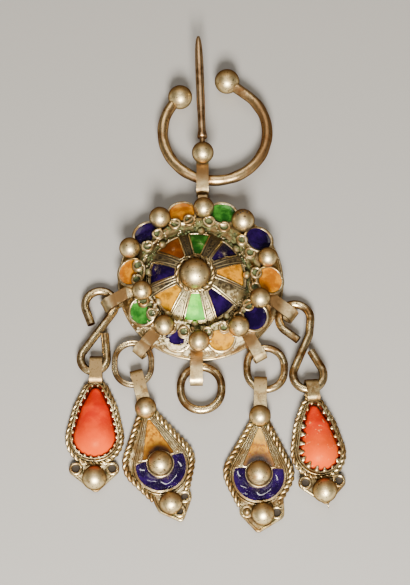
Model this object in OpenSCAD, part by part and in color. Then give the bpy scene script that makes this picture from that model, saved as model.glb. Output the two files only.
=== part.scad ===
// Enamelled silver fibula: a domed round brooch with a pin, a penannular ring
// and four drops on links. Millimetres. Y points to the pin's tip, Z away from
// the surface it lies on, and the head's centre is first drawn at X = Y = 0.
// Angles named "turn" run clockwise from Y, as seen from above.

/* [Head] */
// radius of the round base plate
base_r = 22.7; // [22.4:0.1:24]
// thickness of the base plate's edge
base_t = 0.8; // [0.6:0.1:1.2]
// radius of a petal frame
petal_r = 4.2; // [3.8:0.1:4.4]
// distance from the centre to a petal's centre
petal_at = 18.6; // [18:0.1:19]
// height of a petal's centre
petal_z = 5.75; // [5:0.05:6.5]
// slope of the petals, in degrees
petal_slope = 22; // [15:1:30]
// radius of the inner dome's surface
dome_r = 21; // [19:0.1:24]
// height of the inner dome's top
dome_top = 9.1; // [8.5:0.1:9.6]
// radius of the inner dome, seen from above
dome_edge = 13.7; // [13:0.1:14]
// depth of the enamel beds
bed = 0.55; // [0.4:0.05:0.7]
// radius of the big ball in the middle
boss_r = 4.15; // [3.8:0.05:4.4]
// radius of a wire curl
curl_r = 1.35; // [1.2:0.05:1.5]
// radius of the curls' wire
curl_wire = 0.33; // [0.25:0.01:0.4]

/* [Pin and ring] */
// height of the pin's axis
pin_z = 8.1; // [8:0.1:9]
// radius of the ring, to the middle of its wire
ring_r = 14.75; // [14:0.05:15.5]
// radius of the ring's wire
ring_wire = 1.34; // [1.1:0.01:1.45]
// height of the ring's wire
ring_z = 3.35; // [3.3:0.05:3.6]

/* [Links] */
// height of every link's wire
link_z = 2; // [1.8:0.05:2.2]
// radius of the S links' wire
hook_wire = 1.12; // [0.95:0.01:1.2]
// thickness of the folded bails
bail_t = 0.6; // [0.5:0.05:0.8]
// width of the folded bails
bail_w = 3.4; // [2.6:0.1:3.6]

/* [Drops] */
// thickness of the drops' plates
plate_t = 1; // [0.8:0.1:1.3]
// radius of the core of the roped edge on the enamelled drops
rope_r = 0.6; // [0.5:0.01:0.8]
// height of the raised frame on the enamelled drops
frame_t = 0.55; // [0.4:0.05:0.7]
// radius of the core of the roped edge on the coral settings
coral_rope_r = 0.5; // [0.4:0.01:0.7]
// how far the right coral setting leans, in degrees
lean = 7.5; // [7:0.1:9]

/* [Hidden] */
$fn = 48;
gap = 0.05;
hair = 0.01;
into = 0.1;
shift = [-1.32, -0.784, 0];
dome_at = [-1.3, -0.55, 0];
dome_z = dome_top - dome_r;

// petal frames: turn
PETAL = [19, 57, 95, 130, 163, 199, 236, 272, 309, 344];

// curls on the ridge, two to a petal: turn, distance from the crown's centre
CURL = [
    [11, 15.9], [27, 15.7], [50, 15.7], [66, 15.6], [88, 15.8], [103, 15.9],
    [123, 16.2], [138, 16.4], [155, 16.6], [171, 16.8], [193, 16.8],
    [206, 16.8], [228, 16.6], [243, 16.6], [265, 16.6], [279, 16.6],
    [301, 16.1], [317, 16.2], [337, 16.2], [351, 16.1]
];
crown_at = [-0.7, -0.5, 0];
curl_z = 6.75;

// balls round the head: x, y, z, radius
BALL = [
    [0.8, 19.2, 7.7, 2.72], [11.6, 15.3, 7.8, 3.05], [18.3, 4.6, 7.6, 2.55],
    [16.1, -7.4, 8.1, 2.65], [10.3, -15.3, 7.7, 2.72],
    [-0.4, -19.4, 7.6, 2.7], [-9.8, -15.1, 7.9, 2.65],
    [-15.9, -5.3, 8.3, 2.55], [-19.4, 7.5, 7.1, 2.72],
    [-11.2, 16.3, 7.6, 2.77]
];

// inner cells about the dome's centre: turn, near distance, near half width,
// far distance, far half width
CELL = [
    [4, 5.9, 0.8, 13.0, 2.7], [48, 6.2, 0.5, 13.1, 2.8],
    [85, 5.8, 0.5, 12.9, 3.2], [140, 5.9, 0.6, 12.7, 3.0],
    [181, 5.7, 1.1, 12.3, 2.9], [230, 5.9, 1.1, 12.3, 3.4],
    [277, 5.8, 1.1, 12.3, 3.2], [323, 5.9, 0.6, 12.8, 3.3]
];

// granules on the dome's edge: turn, distance from the dome's centre, radius
GRANULE = [
    [181, 13.4, 1.1], [6, 14.0, 1.05], [86, 13.9, 1.1], [143, 13.9, 1.1],
    [236, 12.4, 1.15], [216, 13.0, 1.1], [278, 13.2, 1.0], [317, 13.6, 1.1],
    [52, 14.0, 1.05]
];

// head bails: x, y of the root, direction in degrees, length to the fold
HEAD_BAIL = [
    [-19.3, -4.1, 209.2, 6.4], [-12.2, -15.9, 229, 5.7],
    [-1.1, -20.0, 270, 8.3], [12.6, -16.3, 300, 6.0],
    [19.2, -6.2, 323, 6.2]
];

function polar(turn, r) = [r * sin(turn), r * cos(turn), 0];

// A path is a belt over round pegs. Each row is x, y, peg radius and the way
// round it: 1 against the clock, -1 with it. A peg of radius 0 is a point.
function leg_dir(a, b) = let (
    d = [b[0] - a[0], b[1] - a[1]],
    k = b[2] * b[3] - a[2] * a[3],
    l = sqrt(max(0, d * d - k * k))
) atan2(d[1], d[0]) - atan2(k, l);
function leg_len(a, b) = let (
    d = [b[0] - a[0], b[1] - a[1]],
    k = b[2] * b[3] - a[2] * a[3]
) sqrt(max(0, d * d - k * k));
function leg_from(a, dir) = [
    a[0] + a[2] * a[3] * sin(dir), a[1] - a[2] * a[3] * cos(dir), 0
];
function wrap(a) = a - 360 * floor(a / 360);

// child: the section, with X outward and Y up; a straight run is a hair
// thinner than the turns and reaches a little way into them
module leg(a, b) {
    dir = leg_dir(a, b);
    long = leg_len(a, b);
    if (long > 0.001)
        translate(leg_from(a, dir))
            rotate([0, 0, dir - 90])
                translate([0, long + into, 0])
                    rotate([90, 0, 0])
                        linear_extrude(height = long + 2 * into)
                            children();
}

module turn_round(a, b, c) {
    first = leg_dir(a, b);
    last = leg_dir(b, c);
    sweep = b[3] > 0 ? wrap(last - first) : wrap(first - last);
    start = b[3] > 0 ? first - 90 : last + 90;
    if (b[2] > 0 && sweep > 0.01 && sweep < 359.99)
        translate([b[0], b[1], 0])
            rotate([0, 0, start])
                rotate_extrude(angle = sweep)
                    translate([b[2], 0]) children();
}

// children: the section of a turn, then that of a straight run
module open_path(rows) {
    n = len(rows);
    for (i = [0 : n - 2])
        leg(rows[i], rows[i + 1]) children(1);
    for (i = [1 : n - 2])
        turn_round(rows[i - 1], rows[i], rows[i + 1]) children(0);
}

module closed_path(rows) {
    n = len(rows);
    for (i = [0 : n - 1]) {
        leg(rows[i], rows[(i + 1) % n]) children(1);
        turn_round(rows[(i + n - 1) % n], rows[i], rows[(i + 1) % n])
            children(0);
    }
}

// flat shape inside a closed path whose pegs all turn against the clock,
// grown by g
function grown(rows, g) = [for (p = rows) [p[0], p[1], p[2] + g, p[3]]];
function flank(rows) = let (n = len(rows)) [
    for (i = [0 : n - 1]) let (
        a = rows[i],
        b = rows[(i + 1) % n],
        dir = leg_dir(a, b),
        p = leg_from(a, dir),
        l = leg_len(a, b)
    ) each [[p[0], p[1]], [p[0] + l * cos(dir), p[1] + l * sin(dir)]]
];
module shape(rows) {
    for (p = rows)
        translate([p[0], p[1]]) circle(r = p[2]);
    polygon(flank(grown(rows, -hair)));
}

// round wire of radius r
module open_wire(rows, r) {
    open_path(rows) {
        circle(r = r);
        circle(r = r - hair);
    }
}
module closed_wire(rows, r) {
    closed_path(rows) {
        circle(r = r);
        circle(r = r - hair);
    }
}

// a ball with its axis turned away from the seams of what it sits on
module ball(r) {
    rotate([90, 0, 30]) sphere(r = r);
}

module torus(r, w) {
    rotate_extrude() translate([r, 0]) circle(r = w);
}

// a folded strip: rows in its own upright plane, from the root outward
module bail(at, dir, rows, t, w) {
    translate(at)
        rotate([0, 0, dir])
            rotate([90, 0, 0])
                closed_path(rows) {
                    square([t, w], center = true);
                    square([t - 2 * hair, w - 2 * hair], center = true);
                }
}

// head

module petal_frame(turn) {
    translate(polar(turn, petal_at) + [0, 0, petal_z])
        rotate([0, 0, -turn])
            rotate([-petal_slope, 0, 0])
                children();
}

module head_crown() {
    rotate_extrude() polygon([
        [0, 0], [base_r, 0], [base_r, base_t], [22.3, base_t], [21.0, 3.2],
        [17.6, 5.3], [16.6, 6.45], [15.1, 6.55], [14.1, 4.4], [0, 4.4]
    ]);
}

module head_lobes() {
    for (i = [0 : len(PETAL) - 1]) {
        translate(polar(PETAL[i], 18.05) + [0, 0, 0.4])
            cylinder(r = 3.7, h = 3.1);
        petal_frame(PETAL[i])
            rotate_extrude() polygon([
                [0, -1.2], [petal_r, -1.2], [petal_r, 0.3],
                [petal_r - 0.15, 0.52], [petal_r - 0.4, 0.6],
                [petal_r - 0.62, 0.52], [petal_r - 0.76, 0.2], [0, 0.2]
            ]);
    }
}

module cell_outline(c, g) {
    intersection() {
        circle(r = c[3] - g);
        rotate(-c[0]) polygon([
            [-c[2] + g, c[1] + g], [c[2] - g, c[1] + g],
            [c[4] - g, c[3]], [c[4] - g, 15], [-c[4] + g, 15],
            [-c[4] + g, c[3]]
        ]);
    }
}

module dome_ball(sink) {
    translate([0, 0, dome_z]) sphere(r = dome_r - sink);
}

module cell_beds() {
    difference() {
        union()
            for (c = CELL)
                linear_extrude(height = 12) cell_outline(c, 0);
        dome_ball(bed);
    }
}

module dome() {
    translate(dome_at)
        difference() {
            intersection() {
                dome_ball(0);
                translate([0, 0, 2]) cylinder(r = dome_edge, h = 9);
            }
            cell_beds();
        }
}

module head_hollow() {
    translate([0, 0, -1])
        rotate_extrude() polygon([
            [0, 0], [20.3, 0], [20.3, 1.8], [17.4, 4.9], [16.9, 4.9],
            [16.3, 3.6], [0, 3.6]
        ]);
    translate(dome_at)
        intersection() {
            dome_ball(1.7);
            cylinder(r = 12.2, h = 9);
        }
}

module head_shell() {
    difference() {
        union() {
            head_crown();
            head_lobes();
        }
        translate(dome_at)
            translate([0, 0, 3.6]) cylinder(r = 14.6, h = 9);
    }
}

module head_balls(extra = 0) {
    for (b = BALL)
        translate([b[0], b[1], b[2]]) ball(b[3] + extra);
}

module head_curls() {
    for (c = CURL)
        translate(crown_at + polar(c[0], c[1]) + [0, 0, curl_z])
            rotate([0, 0, -c[0]])
                rotate([-14, 0, 0])
                    torus(curl_r, curl_wire);
}

module granule(g, extra) {
    translate(dome_at + polar(g[0], g[1])
        + [0, 0, dome_z + sqrt(dome_r * dome_r - 13.2 * 13.2) + 0.55])
        rotate([0, 0, -g[0]])
            rotate([-40, 0, 0])
                sphere(r = g[2] + extra);
}

module head_bails() {
    for (b = HEAD_BAIL)
        bail([b[0], b[1], 0], b[2],
            [[0, 2.65, 1.6, 1], [b[3], link_z, 1.65, 1]],
            bail_t, bail_w);
}

module boss() {
    translate([-1.5, -0.85, 9.2]) ball(boss_r);
    translate([-1.3, -0.55, 8.45]) torus(4.85, 0.42);
}

module pin_strap() {
    bail([0.5, 0, 0], 90,
        [[26.9, 3.05, 1.95, 1], [33.3, ring_z, 2.1, 1]], 0.8, 3.4);
    translate([-0.8, 21.6, 1.4]) cube([2.6, 3.6, 2.4]);
}

module pin() {
    translate([0.57, 35.8, 7.6]) ball(2.9);
    translate([0.57, 35.8, pin_z])
        rotate([0, 0, 2.1])
            rotate([-90, 0, 0])
                rotate_extrude() polygon([
                    [0, 0], [0.75, 0], [0.75, 4.2], [1.28, 4.4],
                    [0.95, 6.6], [0.85, 9.5], [1.14, 16], [1.05, 22.5],
                    [1.0, 29], [0.62, 34.4], [0.42, 35.7], [0, 35.9]
                ]);
}

module head() {
    color("silver")
        translate(shift) {
            difference() {
                union() {
                    head_shell();
                    head_bails();
                    head_balls();
                    head_curls();
                }
                head_hollow();
            }
            dome();
            boss();
            for (g = GRANULE) granule(g, 0);
            pin_strap();
            pin();
        }
}

// enamels of the head

module petal_enamel(i) {
    lift = 0.2;
    translate(shift)
        difference() {
            petal_frame(PETAL[i])
                translate([0, 0, lift])
                    cylinder(r = petal_r - 0.76 - gap, h = 0.36);
            translate(crown_at) cylinder(r = 16.6, h = 12);
            for (c = CURL)
                if (abs(wrap(c[0] - PETAL[i] + 180) - 180) < 16)
                    translate(crown_at + polar(c[0], c[1]))
                        cylinder(r = curl_r + curl_wire + 0.08, h = 12);
            for (b = BALL)
                if (norm(polar(PETAL[i], petal_at)
                    - [b[0], b[1], 0]) < 8.5)
                    translate([b[0], b[1], b[2]]) ball(b[3] + gap);
        }
}

module cell_enamel(i) {
    translate(shift)
        difference() {
            translate(dome_at)
                difference() {
                    intersection() {
                        linear_extrude(height = 12)
                            cell_outline(CELL[i], gap);
                        dome_ball(0.12);
                    }
                    dome_ball(bed);
                }
            for (g = GRANULE)
                if (abs(wrap(g[0] - CELL[i][0] + 180) - 180) < 24)
                    granule(g, gap);
        }
}

// penannular ring

// left end, round the ring, right end
RING = [
    [-5.87, 54.86, 0, 1], [4.0, 43.9, ring_r, 1], [7.46, 59.87, 0, 1]
];

module ring() {
    color("tan")
        translate(shift + [0, 0, ring_z]) {
            open_wire(RING, ring_wire);
            translate([RING[0][0], RING[0][1], 0]) ball(3.25);
            translate([RING[2][0], RING[2][1], 0.07]) ball(3.4);
        }
}

// links

HOOK_LEFT = [
    [-29.75, -12.8, 0, 1], [-27.45, -7.35, 4.1, -1],
    [-28.85, -22.7, 3.55, 1], [-26.0, -15.8, 0, 1]
];
HOOK_RIGHT = [
    [26.4, -17.5, 0, 1], [25.6, -11.4, 4.3, -1], [25.9, -15.2, 3.6, -1],
    [28.95, -27.6, 4.1, 1], [29.8, -20.8, 0, 1]
];
// how far the right hook climbs towards the raised drop, in degrees
hook_climb = 2.6;

module hook_left() {
    color("silver")
        translate(shift + [0, 0, link_z])
            open_wire(HOOK_LEFT, hook_wire);
}

module hook_right() {
    color("silver")
        translate(shift + [0, -8.7, link_z + 0.1])
            rotate([-hook_climb, 0, 0])
                translate([0, 8.7, 0])
                    open_wire(HOOK_RIGHT, hook_wire);
}

// a slightly long ring: centre, half straight run, end radius, wire
module jump_ring(at, run, r, w) {
    color("silver")
        translate(shift + [at[0], at[1], link_z])
            closed_wire([[0, -run, r, 1], [0, run, r, 1]], w);
}

module jump_ring_left() {
    jump_ring([-18.25, -24.2], 0.95, 4.95, 0.78);
}

module jump_ring_middle() {
    jump_ring([0.13, -31.1], 0.52, 5.5, 1.08);
}

module jump_ring_right() {
    jump_ring([17.55, -25.5], 0.8, 5.03, 1);
}

// a ball soldered to a drop's plate, flat below
module plate_ball(at, r) {
    translate([at[0], at[1], 0])
        rotate([0, 0, 30])
            rotate_extrude()
                intersection() {
                    translate([0, at[2]]) circle(r = r);
                    translate([0, 0.3]) square([5, 9]);
                }
}

// coral drops

// pegs of the stone's outline, the bail's end upward
CORAL = [[0, 0, 6.05, 1], [0, 6.5, 4.5, 1], [0, 12.2, 2.1, 1]];
function scaled(rows, k) = [
    for (p = rows) [p[0] * k, p[1] * k, p[2] * k, p[3]]
];
function round_trip(rows) = [rows[0], rows[1], rows[2], rows[1]];
seat_z = 0.2;

module coral_stone(k) {
    color("coral")
        intersection() {
            translate([0, 0, seat_z])
                rotate([-90, 0, 0])
                    rotate_extrude()
                        intersection() {
                            shape(round_trip(scaled(CORAL, k)));
                            translate([0, -20]) square([20, 60]);
                        }
            translate([-15, -15, plate_t]) cube([30, 40, 12]);
        }
}

module coral_setting(k, root, fold) {
    rows = round_trip(scaled(CORAL, k));
    foot = [
        [-4.8 * k, -8.6 * k, 1.5, 1], [0.5, -13.4 * k, 1, 1],
        [4.8 * k, -8.6 * k, 1.5, 1]
    ];
    color("silver") {
        difference() {
            union() {
                linear_extrude(height = plate_t) {
                    shape(grown(rows, 1.05));
                    shape(foot);
                }
                linear_extrude(height = 3.1) shape(grown(rows, 0.38));
            }
            translate([0, 0, plate_t])
                linear_extrude(height = 5) shape(grown(rows, gap));
        }
        translate([0, 0, 0.75])
            closed_wire(grown(rows, 1.15), coral_rope_r);
        translate([0, 0, 0.9]) closed_wire(foot, 0.4);
        for (x = [-1, 1])
            translate([x * 4.8 * k, -8.6 * k, 1.05]) torus(1.45, 0.42);
        plate_ball([0.2, -11.3 * k, 2.4], 3.15);
        bail([0, 0, 0], 90,
            [[root, link_z, 1.65, 1], [fold, link_z, 1.65, 1]],
            bail_t, bail_w);
    }
}

module at_coral_left() {
    translate(shift + [-28.2, -44.5, 0]) children();
}

module at_coral_right() {
    translate(shift + [31.1, -48.8, 0])
        translate([7.38, 0, 0])
            rotate([0, lean, 0])
                translate([-7.38, 0, 0])
                    rotate([0, 0, 5.5])
                        children();
}

module coral_setting_left() {
    at_coral_left() coral_setting(1, 16.4, 20.5);
}

module coral_left() {
    at_coral_left() coral_stone(1);
}

module coral_setting_right() {
    at_coral_right() coral_setting(0.94, 15.5, 18.0);
}

module coral_right() {
    at_coral_right() coral_stone(0.94);
}

// enamelled drops

// pegs of the plates' edge and of the raised frame, the bail's end upward
EDGE_LEFT = [
    [0.4, -8.5, 4.24, 1], [2.6, 0.3, 6, 1], [0, 13.4, 2.15, 1],
    [-2.9, 1.0, 6.2, 1]
];
EDGE_RIGHT = [
    [0, -8.5, 4.24, 1], [2.6, 0.3, 6, 1], [0, 13.4, 2.15, 1],
    [-2.6, 0.3, 6, 1]
];
FRAME = [[0, -0.7, 7.25, 1], [0, 12.6, 1.2, 1]];

// pegs of the feet, from the left shoulder round the tip to the right one
FOOT_LEFT = [
    [-2.3, -9.8, 1.5, 1], [-2.1, -11.6, 1.3, 1], [1.5, -15.1, 0.85, 1],
    [3.95, -10.3, 1.5, 1]
];
FOOT_RIGHT = [
    [-3.0, -10.2, 1.55, 1], [0.15, -14.4, 0.85, 1], [4.9, -10.4, 1.6, 1],
    [5.0, -7.4, 1.3, 1]
];

// the rope runs clockwise from the foot's left shoulder to its right one
function roped(edge, left, right) = [
    left, each [for (i = [3, 2, 1]) [edge[i][0], edge[i][1], edge[i][2], -1]],
    right
];

module yellow_outline(g) {
    difference() {
        polygon([
            [-0.4 + g, 12.7 - g], [0.4 - g, 12.7 - g],
            [4.6 - g, 1.9 + g], [-4.6 + g, 1.9 + g]
        ]);
        circle(r = 3.5 + g);
    }
}

module blue_outline(g) {
    difference() {
        translate([0, -0.7]) circle(r = 6.8 - g);
        translate([-10, 1.5 - g]) square([20, 10]);
        circle(r = 3.5 + g);
    }
}

// ends: the rope's ends on the left and on the right; brow: the ends of the
// foot's wire; curls: x, y of the foot's curls; bead: x, y of the foot's ball
module drop(edge, foot, ends, brow, curls, bead) {
    color("silver") {
        linear_extrude(height = plate_t) {
            shape(edge);
            shape(foot);
        }
        difference() {
            linear_extrude(height = plate_t + frame_t) shape(FRAME);
            translate([0, 0, plate_t])
                linear_extrude(height = 3) {
                    yellow_outline(0);
                    blue_outline(0);
                }
        }
        translate([0, 0, rope_r])
            open_wire(roped(edge, ends[0], ends[1]), rope_r);
        translate([0, 0, 0.9])
            open_wire([
                brow[0], each [for (i = [0 : len(foot) - 1]) foot[i]],
                brow[1]
            ], 0.4);
        plate_ball([0, 0, 2.2], 3.25);
        plate_ball([0, 15.8, 2.1], 2.8);
        plate_ball([bead[0], bead[1], 2.1], 2.98);
        for (c = curls)
            translate([c[0], c[1], 1.3]) torus(1.3, 0.42);
        bail([0, 0, 0], 90,
            [[17.6, 1.65, 1.2, 1], [24.7, link_z, 1.65, 1]],
            bail_t, bail_w);
    }
}

module drop_enamel() {
    translate([0, 0, plate_t])
        linear_extrude(height = frame_t - 0.1) children();
}

module at_drop_left() {
    translate(shift + [-10.66, -51.75, 0]) rotate([0, 0, 14.9]) children();
}

module at_drop_right() {
    translate(shift + [15.45, -54.46, 0]) rotate([0, 0, -1.5]) children();
}

module drop_left() {
    at_drop_left()
        drop(EDGE_LEFT, FOOT_LEFT,
            [[-4.1, -8.9, 0, 1], [4.9, -8.6, 0, 1]],
            [[-3.8, -8.4, 0, 1], [5.4, -8.2, 0, 1]],
            [[3.95, -10.3], [1.75, -13.7]], [0.05, -11.1]);
}

module drop_left_yellow() {
    color("goldenrod") at_drop_left() drop_enamel() yellow_outline(gap);
}

module drop_left_blue() {
    color("navy") at_drop_left() drop_enamel() blue_outline(gap);
}

module drop_right() {
    at_drop_right()
        drop(EDGE_RIGHT, FOOT_RIGHT,
            [[-4.8, -8.5, 0, 1], [5.2, -7.6, 0, 1]],
            [[-4.55, -8.9, 0, 1], [6.3, -5.4, 0, 1]],
            [[-2.95, -10.3], [4.9, -10.4]], [1.2, -10.9]);
}

module drop_right_yellow() {
    color("goldenrod") at_drop_right() drop_enamel() yellow_outline(gap);
}

module drop_right_blue() {
    color("navy") at_drop_right() drop_enamel() blue_outline(gap);
}

module petal_green_top() color("green") petal_enamel(0);
module petal_blue_top() color("navy") petal_enamel(1);
module petal_orange_right() color("orange") petal_enamel(2);
module petal_blue_right() color("navy") petal_enamel(3);
module petal_orange_bottom() color("orange") petal_enamel(4);
module petal_blue_bottom() color("navy") petal_enamel(5);
module petal_green_left() color("green") petal_enamel(6);
module petal_orange_left() color("orange") petal_enamel(7);
module petal_blue_left() color("navy") petal_enamel(8);
module petal_orange_top() color("orange") petal_enamel(9);
module cell_green_top() color("green") cell_enamel(0);
module cell_blue_top() color("navy") cell_enamel(1);
module cell_yellow_right() color("goldenrod") cell_enamel(2);
module cell_blue_right() color("navy") cell_enamel(3);
module cell_green_bottom() color("lightgreen") cell_enamel(4);
module cell_yellow_left() color("goldenrod") cell_enamel(5);
module cell_blue_left() color("navy") cell_enamel(6);
module cell_orange_top() color("sienna") cell_enamel(7);

head();
ring();
petal_green_top();
petal_blue_top();
petal_orange_right();
petal_blue_right();
petal_orange_bottom();
petal_blue_bottom();
petal_green_left();
petal_orange_left();
petal_blue_left();
petal_orange_top();
cell_green_top();
cell_blue_top();
cell_yellow_right();
cell_blue_right();
cell_green_bottom();
cell_yellow_left();
cell_blue_left();
cell_orange_top();
hook_left();
hook_right();
jump_ring_left();
jump_ring_middle();
jump_ring_right();
coral_setting_left();
coral_setting_right();
coral_left();
coral_right();
drop_left();
drop_right();
drop_left_yellow();
drop_left_blue();
drop_right_yellow();
drop_right_blue();
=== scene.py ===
# %% [markdown]
# # Enamelled silver fibula
# A fibula is a cloak pin. This one has a domed round head with cells of
# coloured enamel, a long pin, a ring with a gap that turns in the strap of the
# pin, and four drops that hang from wire links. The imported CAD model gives
# every solid its place and its size. This script dresses those solids: it gives
# them old silver, glass enamel and coral, and adds the twisted wires, teeth and
# curls that are too fine for solids.

# %% Frame
import math

import bpy
import numpy as np
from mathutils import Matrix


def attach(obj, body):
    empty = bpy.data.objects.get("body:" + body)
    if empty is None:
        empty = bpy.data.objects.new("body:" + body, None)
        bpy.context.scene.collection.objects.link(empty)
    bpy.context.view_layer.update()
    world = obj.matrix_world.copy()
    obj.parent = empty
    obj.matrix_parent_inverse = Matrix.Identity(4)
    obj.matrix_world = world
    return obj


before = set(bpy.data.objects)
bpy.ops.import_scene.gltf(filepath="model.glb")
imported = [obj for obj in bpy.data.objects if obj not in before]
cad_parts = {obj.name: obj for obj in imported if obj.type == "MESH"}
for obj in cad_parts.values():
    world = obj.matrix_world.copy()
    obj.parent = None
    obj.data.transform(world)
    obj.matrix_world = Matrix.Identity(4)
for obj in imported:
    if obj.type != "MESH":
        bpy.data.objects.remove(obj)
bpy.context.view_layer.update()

# %% [markdown]
# ## Camera
# The photograph looks at the lying piece from the side of the drops, about 20
# degrees off the vertical. A camera half a metre away with a long lens gives
# the same flat perspective. The pieces below are measured in millimetres from
# the middle of the head, and one small function turns them into the model's
# metres. Lamps and the zones of a material are given in metres at once.

# %% Camera
HEAD_AT = np.array([-1.32, -0.784, 0.0])
CAMERA_AWAY = 0.5
SENSOR = 24
FOCAL_PIXELS = 1818.18
PHOTO_HEIGHT = 585


def metres(points):
    """millimetres from the head's middle, as metres in the model's frame"""
    return (np.asarray(points, float) + HEAD_AT) * 0.001


def new_object(name, data):
    """an object in the scene"""
    o = bpy.data.objects.new(name, data)
    bpy.context.scene.collection.objects.link(o)
    return o


tilt = math.radians(20)
aim = metres([1.185, -2.903, 0.0])
camera_data = bpy.data.cameras.new("camera")
camera_data.sensor_fit = "VERTICAL"
camera_data.sensor_height = SENSOR
camera_data.lens = SENSOR * FOCAL_PIXELS / PHOTO_HEIGHT
camera = new_object("camera", camera_data)
camera.location = (
    aim[0],
    aim[1] - CAMERA_AWAY * math.sin(tilt),
    aim[2] + CAMERA_AWAY * math.cos(tilt),
)
camera.rotation_euler = (tilt, 0, 0)
bpy.context.scene.camera = camera
print("camera lens", round(camera_data.lens, 2), "mm")

# %% [markdown]
# ## Floor and light
# A pale floor and soft lamps are enough. Polished silver shows only what it
# reflects, so the lamps matter more than the paint: the key lamp stands beyond
# the camera on the side of the drops, which puts the highlight of each ball
# just under its middle. A large weak lamp hangs beyond the pin, where the
# level metal mirrors it and the level glass doesn't. A thin strip gives the
# glass of the drops its white streaks. The sky stays dim, so the balls keep
# dark edges.

# %% Floor and light
FLOOR_HALF = 1.5
FLOOR_DROP = 0.0002

world = bpy.data.worlds.new("room")
bpy.context.scene.world = world
world.use_nodes = True
sky = world.node_tree.nodes["Background"]
sky.inputs["Color"].default_value = (0.88, 0.79, 0.66, 1)
sky.inputs["Strength"].default_value = 0.11


def lamp(name, place, size, power, colour):
    """a rectangular lamp that looks at the middle of the piece"""
    data = bpy.data.lights.new(name, "AREA")
    data.shape = "RECTANGLE"
    data.size, data.size_y = size
    data.energy = power
    data.color = colour
    o = new_object(name, data)
    o.location = place
    direction = -o.location
    o.rotation_euler = direction.to_track_quat("-Z", "Y").to_euler()


lamp("key_lamp", (0.02, -0.45, 0.42), (0.20, 0.20), 11.2, (1.0, 0.95, 0.86))
lamp("ceiling", (-0.05, 0.44, 0.56), (0.50, 0.30), 1.3, (1.0, 0.93, 0.80))
lamp("glint", (-0.03, 0.10, 0.66), (0.20, 0.026), 0.50, (1.0, 0.97, 0.92))

floor_mesh = bpy.data.meshes.new("floor")
floor_mesh.from_pydata(
    [(x * FLOOR_HALF, y * FLOOR_HALF, 0)
     for x, y in ((-1, -1), (1, -1), (1, 1), (-1, 1))], [], [(0, 1, 2, 3)])
floor = new_object("floor", floor_mesh)
floor.location = (0, 0, -FLOOR_DROP)
print("lamps:", len(bpy.data.lights), "floor:", 2 * FLOOR_HALF, "m wide")

# %% [markdown]
# ## Shader groups
# Old silver, enamel and coral share a few effects: patches that come and go, dirt and
# painted shade that stay in the hollows, a slow change along the piece, and small
# dents. Each effect could be built again in every material. It is one node group here,
# which puts out a mask or a height, and the materials use the groups with their own
# numbers.

# %% Shader group helpers
def new_group(name, inputs, outputs):
    """an empty shader group with its named number sockets"""
    group = bpy.data.node_groups.new(name, "ShaderNodeTree")
    for label, value in inputs.items():
        socket = group.interface.new_socket(
            name=label, in_out="INPUT", socket_type="NodeSocketFloat")
        socket.default_value = value
    for label in outputs:
        group.interface.new_socket(
            name=label, in_out="OUTPUT", socket_type="NodeSocketFloat")
    first = group.nodes.new("NodeGroupInput")
    last = group.nodes.new("NodeGroupOutput")
    print("group", name, list(inputs), "->", outputs)
    return group, first.outputs, last.inputs


def feed(tree, socket, given):
    """a link from another socket, or a plain value"""
    if isinstance(given, bpy.types.NodeSocket):
        tree.links.new(given, socket)
    else:
        socket.default_value = given


def ranged(tree, value, low, high, to_low=0.0, to_high=1.0):
    """a smooth map of one value from one range to another"""
    n = tree.nodes.new("ShaderNodeMapRange")
    n.interpolation_type = "SMOOTHSTEP"
    for socket, given in zip(n.inputs[:5], (value, low, high, to_low, to_high)):
        feed(tree, socket, given)
    return n.outputs["Result"]


def chained(tree, operation, *values):
    """math nodes in a row; each takes the result so far and the next value"""
    result = values[0]
    for value in values[1:]:
        n = tree.nodes.new("ShaderNodeMath")
        n.operation = operation
        feed(tree, n.inputs[0], result)
        feed(tree, n.inputs[1], value)
        result = n.outputs["Value"]
    return result


def product(tree, *values):
    """masks and numbers multiplied: 1 only where all of them are"""
    return chained(tree, "MULTIPLY", *values)


def largest(tree, *values):
    """masks laid over each other: the strongest one shows"""
    return chained(tree, "MAXIMUM", *values)


# %% [markdown]
# ### Patches
# Wear, clouds in glass and spots of lime all come and go in patches. A noise
# texture with a soft threshold gives them. It reads the place in the piece, so
# the patches stay on the metal when the camera moves.

# %% Patches
patches, p_in, p_out = new_group(
    "patches", {"Scale": 300.0, "Low": 0.45, "High": 0.6}, ["Mask"])
where = patches.nodes.new("ShaderNodeTexCoord")
cloud = patches.nodes.new("ShaderNodeTexNoise")
cloud.inputs["Detail"].default_value = 5.0
cloud.inputs["Roughness"].default_value = 0.6
patches.links.new(where.outputs["Object"], cloud.inputs["Vector"])
patches.links.new(p_in["Scale"], cloud.inputs["Scale"])
patches.links.new(
    ranged(patches, cloud.outputs["Fac"], p_in["Low"], p_in["High"]), p_out["Mask"])

# %% [markdown]
# ### Hollows
# Dirt stays where no finger or cloth comes, and shade falls in the same closed-in
# places. Painting it by hand would take days. Ambient occlusion measures how closed in
# each place is, so the grooves of every wire darken by themselves; the mask stands for
# real dirt and painted shade together.

# %% Hollows
AO_SAMPLES = 8
# a mask for dirt and painted shade: how closed in each place is
hollows, h_in, h_out = new_group(
    "hollows", {"Reach": 0.0012, "Low": 0.25, "High": 0.85}, ["Mask"])
ao = hollows.nodes.new("ShaderNodeAmbientOcclusion")
ao.samples = AO_SAMPLES
hollows.links.new(h_in["Reach"], ao.inputs["Distance"])
hollows.links.new(
    ranged(hollows, ao.outputs["AO"], h_in["Low"], h_in["High"], 1.0, 0.0),
    h_out["Mask"])
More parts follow.
